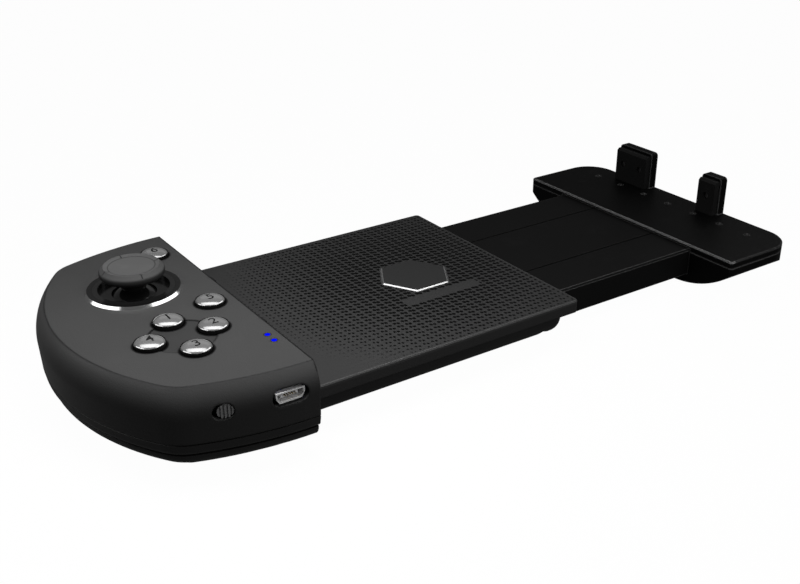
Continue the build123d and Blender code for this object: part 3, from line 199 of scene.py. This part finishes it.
faceButtons = {
    "wellCentre": (-20.5, -16.9, 11.2),    # mm
    "wellRadius": 8.6,
    "top": 12.95,
    "radius": 3.9,
    "dome": 0.25,
    "crownHeight": 1.7,      # rise of the rounded crown above the side
    "crownPower": 2.3,
    "flatRadius": 3.3,       # where the solid's own edge rounding starts
    "crownFlat": 0.55,       # share of the crown that the solid's flat top is spread over
    "numeralHeight": 4.2,
    "numeralWeight": 0.012,
    "numeralEdge": 0.45,     # longest edge in a figure's mesh
    "numeralLift": 0.015,
    "rimFrom": 0.45,         # painted shade on the rim of each opening, out from the button
    "rimTo": 0.85,
    "rimAbove": 9.0,
    "numerals": {"button_north": "1", "button_east": "2", "button_south": "3",
                 "button_west": "4", "button_seam": "5", "button_far": "6"},
    "centres": {"button_north": (-20.5, -8.5), "button_east": (-12.1, -16.9), "button_south": (-20.5, -25.3),
                "button_west": (-28.9, -16.9), "button_seam": (-6.8, -3.8), "button_far": (-6.8, 32.9)},
}

dimples = {
    "pitch": 1.32,          # between neighbours in a row, mm
    "rowPitch": 2.008,
    "squeeze": 0.82,        # dimples are a little longer across the tray
    "shiftX": 0.17,         # pairs lean together
    "shiftY": 0.17,
    "smallest": 0.24,       # radius at the faded edge
    "largest": 0.68,        # radius by the badge
    "centre": (62.0, 3.0),    # where the pattern is strongest
    "fadeFrom": 12.0,
    "fadeTo": 66.0,
    "phaseX": -0.28,
    "phaseY": -0.169,
    "badgeRadius": 11.6,
    "strip": (47.5, 73.5, -16.0, -11.6),    # smooth strip in front of the badge
    "border": 1.1,
    "trayLength": 89.7,
    "trayHalfWidth": 40.0,
    "badgeAlong": 60.4,
}


def trayFinish():
    # the slab's grain with rows of paired dimples that fade away from the badge; the dimples are painted near-black
    # as their shade, the side faces painted darker as shade, and the corners carry a painted pale highlight
    d = dimples
    f = plasticFinish("trayPlastic", grey(0.033), grey(0.040), 0.50, 0.25, 3000.0, 0.9, grey(0.16),
                      gloss=0.05, edgeReach=0.6)
    along, across, height = f.local()
    u = along / d["pitch"] + d["phaseX"]
    v = across / d["rowPitch"] + d["phaseY"]
    cell = u.floor()
    odd = (cell - (cell / 2.0).floor() * 2.0) * 2.0 - 1.0
    dx = (u - cell - 0.5) * d["pitch"] + odd * d["shiftX"]
    dy = ((v - v.floor() - 0.5) * d["rowPitch"] + odd * d["shiftY"]) * d["squeeze"]
    away = (dx * dx + dy * dy) ** 0.5
    fromBadge = ((along - d["centre"][0]) ** 2.0 + (across - d["centre"][1]) ** 2.0) ** 0.5
    strong = 1.0 - f.step(fromBadge, d["fadeFrom"], d["fadeTo"])
    radius = strong * (d["largest"] - d["smallest"]) + d["smallest"]
    inside = 1.0 - f.step(away / radius, 0.70, 1.10)
    x0, x1, y0, y1 = d["strip"]
    strip = (along > x0) * (along < x1) * (across > y0) * (across < y1)
    slope = math.cos(math.radians(30))
    hexagon = across.abs().most(across.abs() * 0.5 + (along - d["badgeAlong"]).abs() * slope)
    clear = (hexagon > d["badgeRadius"] * slope) * (1.0 - strip)
    edge = (along > d["border"]) * (along < d["trayLength"] - d["border"])
    edge = edge * (across.abs() < d["trayHalfWidth"] - d["border"])
    top = height > -0.05
    pit = inside * clear * edge * top * f.step(strong, 0.0, 0.30)
    # side faces below the top are painted darker than the top, as painted shade
    side = 1.0 - f.facingUp(0.75, 0.95)
    colour = f.between(side * (height < -1.0), f.baseColour(), grey(0.026))
    # each dimple is painted near-black: painted shade inside the pit, over its bump
    f.set(Base_Color=f.between(pit * 0.97, colour, grey(0.0005)))
    bumpNode = f.shader.inputs["Normal"].links[0].from_node
    values = {"Height": 1.0 - pit, "Strength": 0.9, "Distance": 0.00018, "Normal": Wire(f.tree, bumpNode.outputs[0])}
    deep = f.node("ShaderNodeBump", None, values)
    f.set(Normal=deep)
    return f


def badgeFinish():
    # satin plate whose bevelled edge is bare bright metal
    f = metalFinish("badgeMetal", grey(0.020), grey(0.025), 0.36, (1, 14, 1))
    rim = (1.0 - f.facingUp(0.80, 0.97)) * f.facingUp(0.3, 0.5)
    f.set(Base_Color=f.between(rim, f.baseColour(), grey(0.90)), Metallic=rim)
    f.shader.inputs["Specular IOR Level"].default_value = 0.2
    return f


def shellFinish():
    # the pad's grained housing, with painted shade darkening the shallow round well between the four buttons, the
    # rims of the button openings, the seam and the top edge; the side faces are painted lighter towards the top as
    # light falls on them
    f = plasticFinish("shellPlastic", grey(0.042), grey(0.049), 0.46, 0.35, 2600.0, 0.95, grey(0.003),
                      edgeReach=0.8, edgeFrom=0.93)
    centre = place(*faceButtons["wellCentre"])
    away = f.node("ShaderNodeVectorMath", {"operation": "DISTANCE"}, {0: f.position(), 1: centre}, out="Value")
    well = 1.0 - f.step(away, faceButtons["wellRadius"] * mm * 0.985, faceButtons["wellRadius"] * mm * 1.01)
    colour = f.between(well * 0.45, f.baseColour(), grey(0.020))
    along, across, height = f.local()
    paintedGapShade = None
    for x, y in faceButtons["centres"].values():    # painted shade on the rim of each button's opening
        reach = ((along - x) ** 2.0 + (across - y) ** 2.0) ** 0.5
        rim = 1.0 - f.step(reach, faceButtons["radius"] + faceButtons["rimFrom"],
                           faceButtons["radius"] + faceButtons["rimTo"])
        paintedGapShade = rim if paintedGapShade is None else paintedGapShade.most(rim)
    high = height > faceButtons["rimAbove"]
    paintedGapShade = paintedGapShade.most(f.step(along, -0.45, -0.15)) * high    # and a painted shade line along the seam
    colour = f.between(paintedGapShade * 0.92, colour, grey(0.003))
    # side faces painted lighter towards the top and darker below, as light falls on them; then a painted shade line
    # along the top edge
    side = 1.0 - f.facingUp(0.80, 0.95)
    paintedSideShading = f.between(f.facingUp(0.0, 0.62), grey(0.018), grey(0.048))
    colour = f.between(f.corner * high, f.between(side, colour, paintedSideShading), grey(0.003))
    f.set(Base_Color=colour, Roughness=0.46 - side * 0.10)
    return f


def coverFinish():
    # the lower half of the pad, its upward faces (the ledge hidden under the shell) painted near-black as shade so
    # that the parting line reads
    f = plasticFinish("coverPlastic", grey(0.014), grey(0.018), 0.42, 0.30, 2600.0)
    f.set(Base_Color=f.between(f.facingUp(0.3, 0.6), f.baseColour(), grey(0.0015)))
    return f


def ringFinish():
    # gloss black band with a bright bevelled edge
    f = plasticFinish("ringGloss", grey(0.005), grey(0.007), 0.16, 0.03, 3000.0, gloss=0.12)
    bevel = (1.0 - f.facingUp(0.72, 0.90)) * f.facingUp(0.45, 0.60)
    f.set(Base_Color=f.between(bevel, f.baseColour(), grey(0.62)), Metallic=bevel)
    return f


def wellFinish():
    # black floor of the stick's well, its upright walls polished bright
    f = plasticFinish("wellGloss", grey(0.006), grey(0.008), 0.20, 0.03, 3000.0, gloss=0.2)
    wall = 1.0 - f.step(f.facingUp(-0.35, 0.35).abs(), 0.20, 0.42)
    f.set(Base_Color=f.between(wall, f.baseColour(), grey(0.55)), Metallic=wall)
    return f


def buttonFinish():
    # dark chrome on the crown, running to painted black shade down the sides
    f = metalFinish("buttonChrome", grey(0.42), grey(0.50), 0.15, (1, 1, 1), 0.05)
    crown = f.facingUp(0.34, 0.56)
    f.set(Base_Color=f.between(crown, grey(0.006), f.baseColour()), Metallic=crown * 0.78)
    f.shader.inputs["Specular IOR Level"].default_value = 0.2
    return f


stickCap = {
    "centre": (-20.0, 15.2, 15.4),     # mm
    "markAngles": (-3.0, 92.0, 183.0, 268.0),
    "lineRadius": 6.15,       # fine groove inside the rim, painted as a dark line of shade
    "markInner": 6.1,
    "markOuter": 8.3,
    "markHalfWidth": 0.16,
}


def capFinish():
    # soft black rubber with four moulded ticks by the raised rim; ticks and groove painted near-black as their
    # shade, the top painted lighter than the sides as lit
    c = stickCap
    f = rubberFinish("capRubber", grey(0.075), 0.60)
    along, across, height = f.local()
    x, y = along - c["centre"][0], across - c["centre"][1]
    high = height > c["centre"][2]
    ticks = None
    for angle in c["markAngles"]:
        cosine, sine = math.cos(math.radians(angle)), math.sin(math.radians(angle))
        along, aside = x * cosine + y * sine, (y * cosine - x * sine).abs()
        thin = 1.0 - f.step(aside, c["markHalfWidth"] * 0.6, c["markHalfWidth"] * 1.4)
        tick = (along > c["markInner"]) * (along < c["markOuter"]) * thin
        ticks = tick if ticks is None else ticks.most(tick)
    away = ((x * x + y * y) ** 0.5 - c["lineRadius"]).abs()
    line = 1.0 - f.step(away, 0.06, 0.2)
    # ticks and groove painted near-black as their shade
    paintedMarkShade = ticks.most(line * 0.7) * high
    # the top painted lighter than the sides, as light falls on it
    colour = f.between(f.facingUp(0.20, 1.0), grey(0.016), f.baseColour())
    f.set(Base_Color=f.between(paintedMarkShade * 0.9, colour, grey(0.004)))
    return f


def boardFinish():
    # green lacquer over faint tracks
    f = Finish("boardGreen")
    values = {"Vector": f.position(), "Scale": 260.0, "Mortar Size": 0.03, "Color1": (0.004, 0.035, 0.012, 1),
              "Color2": (0.006, 0.045, 0.016, 1), "Mortar": (0.02, 0.09, 0.03, 1)}
    tracks = f.node("ShaderNodeTexBrick", {"offset": 0.37}, values)
    f.set(Base_Color=tracks, Roughness=0.35 + f.noise(300.0) * 0.1, Normal=f.bump(f.noise(2000.0), 0.2, 0.00005))
    return f


def lightFinish():
    f = Finish("blueLight")
    glow = f.noise(900.0)
    colour = f.between(glow, (0.0, 0.0, 0.02, 1), (0.0, 0.0, 0.04, 1))
    f.set(Base_Color=colour, Roughness=0.35 + glow * 0.05)
    f.shader.inputs["Specular IOR Level"].default_value = 0.0
    f.set(Emission_Color=f.between(glow, (0.0, 0.0, 1.0, 1), (0.0, 0.01, 1.0, 1)))
    f.shader.inputs["Emission Strength"].default_value = 1.0
    return f


def wrapFinish():
    f = Finish("cellWrap")
    crease = f.noise(70.0, 5.0, 0.6)
    colour = f.between(crease, (0.02, 0.05, 0.16, 1), (0.03, 0.08, 0.22, 1))
    f.set(Base_Color=colour, Roughness=0.3 + crease * 0.2, Normal=f.bump(crease, 0.4, 0.0003))
    return f


# where the clamp's painted edge highlight runs
clampHighlight = {"front": 146.16, "reach": 1.6, "top": -0.46, "depth": 1.2, "elsewhere": 0.22}    # mm


def clampHighlightZone(f):    # the top edge facing the pad gets a strong painted highlight, the others a faint one
    c = clampHighlight
    along, across, height = f.local()
    front = 1.0 - f.step(along, c["front"] + c["reach"], c["front"] + c["reach"] + 0.3)
    top = f.step(height, c["top"] - c["depth"], c["top"] - c["depth"] + 0.3)
    return front * top * (1.0 - c["elsewhere"]) + c["elsewhere"]


slideGrooves = 28.0    # mm from the middle line, beyond both grooves


def slideHighlightZone(f):    # keeps the painted edge highlight off the two grooves
    return f.local()[1].abs() > slideGrooves


finishes = {
    "shell": shellFinish(),
    "cover": coverFinish(),
    "tray": trayFinish(),
    "under": plasticFinish("underPlastic", grey(0.012), grey(0.016), 0.50, 0.40, 2200.0),
    # slide and clamp edges carry a pale painted highlight
    "slide": plasticFinish("slidePlastic", grey(0.005), grey(0.007), 0.44, 0.22, 3000.0, 0.8, grey(0.17), slideHighlightZone,
                           gloss=0.05),
    "clamp": plasticFinish("clampPlastic", grey(0.0022), grey(0.0032), 0.46, 0.45, 2300.0, 1.0, grey(0.42),
                           clampHighlightZone, gloss=0.05, edgeReach=0.7, edgeFrom=0.92),
    "key": plasticFinish("keyGloss", grey(0.016), grey(0.020), 0.16, 0.05, 3000.0, coat=0.4, gloss=0.5),
    "stickGloss": plasticFinish("stickGloss", grey(0.006), grey(0.008), 0.14, 0.04, 3000.0, coat=0.5, gloss=0.5),
    "inner": plasticFinish("innerPlastic", grey(0.30), grey(0.36), 0.5, 0.2, 2500.0),
    "knob": plasticFinish("knobPlastic", grey(0.15), grey(0.20), 0.38, 0.2, 3000.0),
    "nub": plasticFinish("nubPlastic", grey(0.016), grey(0.022), 0.40, 0.2, 3000.0),
    "ring": ringFinish(),
    "button": buttonFinish(),
    "well": wellFinish(),
    "badge": badgeFinish(),
    "cap": capFinish(),
    "grip": rubberFinish("gripRubber", grey(0.010)),
    "feet": rubberFinish("feetRubber", grey(0.022)),
    "steel": metalFinish("screwSteel", grey(0.30), grey(0.38), 0.30, (1, 6, 1)),
    "socket": plasticFinish("socketSteel", grey(0.78), grey(0.86), 0.25, 0.05, 3000.0, gloss=0.5),
    "gold": metalFinish("contactGold", (0.83, 0.58, 0.20, 1), (0.88, 0.64, 0.26, 1), 0.22),
    "board": boardFinish(),
    "light": lightFinish(),
    "wrap": wrapFinish(),
    "numeral": plasticFinish("numeralInk", grey(0.006), grey(0.008), 0.5, 0.1, 3000.0),
}
finishes["socket"].shader.inputs["Metallic"].default_value = 0.35

dressing = {
    "shell": ["upper_shell"],
    "cover": ["lower_cover"],
    "tray": ["tray_top"],
    "under": ["tray_bottom"],
    "slide": ["slide_cover", "slide_floor"],
    "clamp": ["clamp_top", "clamp_bottom"],
    "key": ["shoulder_key_outer", "shoulder_key_inner"],
    "stickGloss": ["stick_shaft"],
    "well": ["stick_plate"],
    "inner": ["gimbal_ring", "gimbal_cradle", "stick_housing", "stick_sensors", "power_switch_body"],
    "knob": ["power_switch_knob"],
    "ring": ["stick_ring"],
    "button": ["button_north", "button_east", "button_south", "button_west", "button_seam", "button_far"],
    "badge": ["hex_badge"],
    "cap": ["stick_cap"],
    "grip": ["wall_bumpers", "hook_pad_wide", "hook_pad_narrow", "brake_pad", "rubber_membrane"],
    "nub": ["grip_nubs"],
    "feet": ["pad_feet", "clamp_feet"],
    "steel": ["pad_screws", "tray_screws", "slide_screws", "clamp_screws", "hook_pad_screws", "key_pins",
              "slide_rails", "stick_spring", "click_switch", "key_switches"],
    "socket": ["usb_socket", "usb_insert"],
    "board": ["main_board", "stick_board", "key_board"],
    "light": ["led_light_guides", "status_leds"],
    "wrap": ["battery"],
}
for finishName, names in dressing.items():
    for name in names:
        nodes[name].data.materials.clear()
        nodes[name].data.materials.append(finishes[finishName].material)
print("finishes on", sum(len(v) for v in dressing.values()), "of", len(nodes), "CAD nodes")


def addPiece(name, mesh, finish, body):
    piece = bpy.data.objects.new(name, mesh)
    bpy.context.scene.collection.objects.link(piece)
    mesh.materials.clear()
    mesh.materials.append(finishes[finish].material)
    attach(piece, body)
    return piece


def crownRise(reach):
    # height of a button's crown above its side, at a distance from its middle, mm
    b = faceButtons
    return b["crownHeight"] * (1 - min(reach / b["radius"], 1) ** b["crownPower"]) ** (1 / b["crownPower"])


def buttonNumeral(button, figure):
    # a thin raised figure laid over the button's dome
    b = faceButtons
    curve = bpy.data.curves.new(button + "_figure", "FONT")
    curve.body, curve.align_x, curve.align_y = figure, "CENTER", "CENTER"
    curve.size, curve.extrude, curve.resolution_u = b["numeralHeight"] * mm, 0.02 * mm, 3
    curve.offset = b["numeralWeight"] * mm
    holder = bpy.data.objects.new(button + "_figure", curve)
    bpy.context.scene.collection.objects.link(holder)
    bpy.context.view_layer.update()
    mesh = bpy.data.meshes.new_from_object(holder.evaluated_get(bpy.context.evaluated_depsgraph_get()))
    bpy.data.objects.remove(holder)
    x, y = b["centres"][button]
    centre = place(x, y, b["top"] + b["dome"] - b["crownHeight"])
    low = Vector([min(v.co[i] for v in mesh.vertices) for i in range(3)])
    high = Vector([max(v.co[i] for v in mesh.vertices) for i in range(3)])
    middle = (low + high) / 2
    fine = bmesh.new()
    fine.from_mesh(mesh)
    bmesh.ops.triangulate(fine, faces=fine.faces)
    for turn in range(3):    # short edges, so that the figure can follow the crown
        long = [edge for edge in fine.edges if edge.calc_length() > b["numeralEdge"] * mm]
        bmesh.ops.subdivide_edges(fine, edges=long, cuts=1)
        bmesh.ops.triangulate(fine, faces=fine.faces)
    fine.to_mesh(mesh)
    fine.free()
    for v in mesh.vertices:
        px, py = v.co.x - middle.x, v.co.y - middle.y
        lift = crownRise(math.hypot(px, py) / mm) * mm
        v.co = Vector((centre.x + px, centre.y + py, centre.z + lift + v.co.z + b["numeralLift"] * mm))
    mesh.update()
    return addPiece(button + "_numeral", mesh, "numeral", button + "_body")


def roundCrown(b, centre):
    # eases a button's small edge rounding into a full pillow, inside the solid's own outline
    f = faceButtons
    middle = place(centre[0], centre[1], f["top"] + f["dome"] - f["crownHeight"])
    rimZ = place(0, 0, f["top"]).z - (f["radius"] - f["flatRadius"]) * mm - 0.02 * mm
    for v in b.verts:
        if v.co.z < rimZ:
            continue
        dx, dy = v.co.x - middle.x, v.co.y - middle.y
        reach = math.hypot(dx, dy) / mm
        if reach > f["flatRadius"]:
            share = min((reach - f["flatRadius"]) / (f["radius"] - f["flatRadius"]), 1)
            moved = f["radius"] * (f["crownFlat"] + (1 - f["crownFlat"]) * share)
        else:
            moved = reach * f["radius"] * f["crownFlat"] / f["flatRadius"]
        grow = moved / reach if reach else 1
        v.co = Vector((middle.x + dx * grow, middle.y + dy * grow, middle.z + crownRise(moved) * mm))
    b.normal_update()


def smoothSkin(name, body, crownAt=None):
    # a merged copy of a polished solid, shaded round over its small facets; upright walls stay flat
    mesh = nodes[name].data.copy()
    mesh.name = name + "_skin"
    b = bmesh.new()
    b.from_mesh(mesh)
    bmesh.ops.remove_doubles(b, verts=b.verts, dist=0.000002)
    if crownAt:
        roundCrown(b, crownAt)
    for face in b.faces:
        face.smooth = not (crownAt and abs(face.normal.z) < 0.12)
    for edge in b.edges:
        flat = len(edge.link_faces) != 2 or not all(face.smooth for face in edge.link_faces)
        edge.smooth = not flat and edge.calc_face_angle(0.0) < math.radians(24)
    b.to_mesh(mesh)
    b.free()
    piece = bpy.data.objects.new(name + "_skin", mesh)
    bpy.context.scene.collection.objects.link(piece)
    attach(piece, body)
    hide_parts(name)
    return piece


usbContacts = {
    "count": 5,
    "pitch": 0.65,       # mm
    "size": (0.35, 2.6, 0.06),
    "middle": (-7.6, -46.2, 5.53),
}


def rowOfBars(name, start, step, count, size, finish, body):
    # equal bars in a row, made by a small node tree with named inputs
    tree = bpy.data.node_groups.new(name + "Row", "GeometryNodeTree")
    kinds = {"Count": "Int", "Start": "Vector", "Step": "Vector", "Size": "Vector", "Finish": "Material"}
    sockets = {}
    for key, kind in kinds.items():
        socket = tree.interface.new_socket(key, in_out="INPUT", socket_type="NodeSocket" + kind)
        sockets[key] = socket.identifier
    tree.interface.new_socket("Geometry", in_out="OUTPUT", socket_type="NodeSocketGeometry")
    inward, outward = tree.nodes.new("NodeGroupInput"), tree.nodes.new("NodeGroupOutput")
    line, cube = tree.nodes.new("GeometryNodeMeshLine"), tree.nodes.new("GeometryNodeMeshCube")
    kinds = ("InstanceOnPoints", "RealizeInstances", "SetMaterial")
    spread, real, paint = (tree.nodes.new("GeometryNode" + kind) for kind in kinds)
    slots = {"Count": line.inputs["Count"], "Start": line.inputs["Start Location"], "Step": line.inputs["Offset"],
             "Size": cube.inputs["Size"], "Finish": paint.inputs["Material"]}
    for key, slot in slots.items():
        tree.links.new(inward.outputs[key], slot)
    tree.links.new(line.outputs[0], spread.inputs["Points"])
    tree.links.new(cube.outputs[0], spread.inputs["Instance"])
    tree.links.new(spread.outputs[0], real.inputs[0])
    tree.links.new(real.outputs[0], paint.inputs["Geometry"])
    tree.links.new(paint.outputs[0], outward.inputs[0])
    seed = bpy.data.objects.new(name + "Seed", bpy.data.meshes.new(name + "Seed"))
    bpy.context.scene.collection.objects.link(seed)
    modifier = seed.modifiers.new("row", "NODES")
    modifier.node_group = tree
    values = {"Count": count, "Start": start, "Step": step, "Size": size, "Finish": finishes[finish].material}
    for key, value in values.items():
        modifier[sockets[key]] = value
    seed.update_tag()
    bpy.context.view_layer.update()
    mesh = bpy.data.meshes.new_from_object(seed.evaluated_get(bpy.context.evaluated_depsgraph_get()))
    bpy.data.objects.remove(seed)
    return addPiece(name, mesh, finish, body)


for button, figure in faceButtons["numerals"].items():
    smoothSkin(button, button + "_body", faceButtons["centres"][button])
    buttonNumeral(button, figure)
smoothSkin("stick_ring", "pad")
smoothSkin("stick_cap", "stick")
smoothSkin("stick_shaft", "stick")
u = usbContacts
x, y, z = u["middle"]
first = place(x - u["pitch"] * (u["count"] - 1) / 2, y, z)
rowOfBars("usb_contacts", first, (u["pitch"] * mm, 0, 0), u["count"], [v * mm for v in u["size"]], "gold", "pad")
print("numerals and socket contacts are in")


studio = {
    "floorSize": 6.0,
    "floorWhite": 0.98,
    "glossSees": 0.09,       # how pale the surroundings are to metal and gloss
    "skyForObject": 0.03,
}

# places in mm from the seam, sizes in mm, power in watts, spread in degrees; shines: seen in gloss
lamps = {
    "overPad": {"at": (-18, -40, 124), "aim": (-16, -34, 0), "size": (110, 60), "power": 0.056, "spread": 112,
                "shines": False},
    "overStrip": {"at": (-14, -4, 124), "aim": (-14, -5, 0), "size": (190, 80), "power": 0.056, "spread": 125,
                  "shines": True},
    "rightPanel": {"at": (200, -71, 197), "aim": (-20, 15, 12), "size": (350, 60), "power": 0.19, "spread": 180,
                   "shines": True, "along": (0.59, 0.743, -0.424)},
    "leftPanel": {"at": (-246, 84, 197), "aim": (-20, 15, 12), "size": (350, 60), "power": 0.19, "spread": 180,
                  "shines": True, "along": (-0.002, 0.95, -0.424)},
    "frontFill": {"at": (110, -290, 130), "aim": (0, -20, 0), "size": (240, 100), "power": 0.30, "spread": 180,
                  "shines": False},
    "backPanel": {"at": (140, 240, 160), "aim": (-15, 0, 12), "size": (260, 110), "power": 0.011, "spread": 180,
                  "shines": True},
}


def makeFloor():
    mesh = bpy.data.meshes.new("floor")
    b = bmesh.new()
    bmesh.ops.create_grid(b, x_segments=2, y_segments=2, size=studio["floorSize"])
    b.to_mesh(mesh)
    b.free()
    floor = bpy.data.objects.new("floor", mesh)
    bpy.context.scene.collection.objects.link(floor)
    f = Finish("floorPale")
    f.set(Base_Color=f.between(f.noise(3.0), grey(0.90), grey(0.93)), Roughness=0.9)
    path = f.node("ShaderNodeLightPath").socket.node.outputs
    mirrored = Wire(f.tree, path["Is Glossy Ray"]).most(Wire(f.tree, path["Is Transmission Ray"]))
    seen = Wire(f.tree, path["Is Camera Ray"]).most(mirrored * studio["glossSees"])
    white = f.node("ShaderNodeEmission", None, {"Color": grey(1.0), "Strength": 1.0})
    dark = f.node("ShaderNodeBsdfDiffuse", None, {"Color": grey(0.06)})
    lit = f.tree.nodes.new("ShaderNodeMixShader")
    lit.inputs[0].default_value = studio["floorWhite"]
    mixed = f.tree.nodes.new("ShaderNodeMixShader")
    f.tree.links.new(f.shader.outputs[0], lit.inputs[1])
    f.tree.links.new(white.socket, lit.inputs[2])
    f.link(seen, mixed.inputs[0])
    f.tree.links.new(dark.socket, mixed.inputs[1])
    f.tree.links.new(lit.outputs[0], mixed.inputs[2])
    f.tree.links.new(mixed.outputs[0], f.output.inputs["Surface"])
    mesh.materials.append(f.material)
    return floor


def makeSky():
    world = bpy.data.worlds.new("studioSky")
    world.use_nodes = True
    bpy.context.scene.world = world
    tree = world.node_tree
    tree.nodes.clear()
    path = tree.nodes.new("ShaderNodeLightPath")
    soft, white = tree.nodes.new("ShaderNodeBackground"), tree.nodes.new("ShaderNodeBackground")
    for shade, strength in ((soft, studio["skyForObject"]), (white, 1.0)):
        shade.inputs["Color"].default_value = grey(1.0)
        shade.inputs["Strength"].default_value = strength
    mix, out = tree.nodes.new("ShaderNodeMixShader"), tree.nodes.new("ShaderNodeOutputWorld")
    mirrored = Wire(tree, path.outputs["Is Glossy Ray"]).most(Wire(tree, path.outputs["Is Transmission Ray"]))
    seen = Wire(tree, path.outputs["Is Camera Ray"]).most(mirrored * studio["glossSees"])
    tree.links.new(seen.socket, mix.inputs[0])
    tree.links.new(soft.outputs[0], mix.inputs[1])
    tree.links.new(white.outputs[0], mix.inputs[2])
    tree.links.new(mix.outputs[0], out.inputs["Surface"])


def makeLamp(name, at, aim, size, power, spread, shines, along=None):
    lamp = bpy.data.lights.new(name, "AREA")
    lamp.shape, lamp.size, lamp.size_y = "RECTANGLE", size[0] * mm, size[1] * mm
    lamp.energy, lamp.spread = power, math.radians(spread)
    holder = bpy.data.objects.new(name, lamp)
    bpy.context.scene.collection.objects.link(holder)
    ahead = (Vector(aim) - Vector(at)).normalized()
    turn = math.radians(view["azimuth"])
    level = Vector(along or (math.cos(turn), -math.sin(turn), 0))
    side = (level - ahead * level.dot(ahead)).normalized()
    holder.location = place(*at)
    holder.rotation_euler = Matrix((side, side.cross(ahead), -ahead)).transposed().to_euler()
    holder.visible_glossy = shines


view = {
    "azimuth": 34.12,      # degrees, 0 looks along +Y
    "elevation": 25.587,
    "roll": -0.205,
    "at": (-109.961, -243.923, 137.085),    # mm, in the seam's axes
    "lens": 49.52,
    "sensor": 36.0,
    "clip": (0.01, 20.0),    # metres
}


def makeCamera():
    turn, down, lean = (math.radians(view[k]) for k in ("azimuth", "elevation", "roll"))
    forward = Vector((math.sin(turn) * math.cos(down), math.cos(turn) * math.cos(down), -math.sin(down)))
    level = Vector((math.cos(turn), -math.sin(turn), 0))
    upright = level.cross(forward)
    right = level * math.cos(lean) + upright * math.sin(lean)
    up = right.cross(forward)
    camera = bpy.data.cameras.new("camera")
    camera.lens, camera.sensor_width = view["lens"], view["sensor"]
    camera.clip_start, camera.clip_end = view["clip"]
    holder = bpy.data.objects.new("camera", camera)
    bpy.context.scene.collection.objects.link(holder)
    turned = Matrix((right, up, -forward)).transposed().to_4x4()
    turned.translation = place(*view["at"])
    holder.matrix_world = turned
    bpy.context.scene.camera = holder


makeFloor()
makeSky()
for name, lamp in lamps.items():
    makeLamp(name, **lamp)
makeCamera()
bpy.context.scene.view_settings.view_transform = "Standard"
print("floor, lights and camera are in")
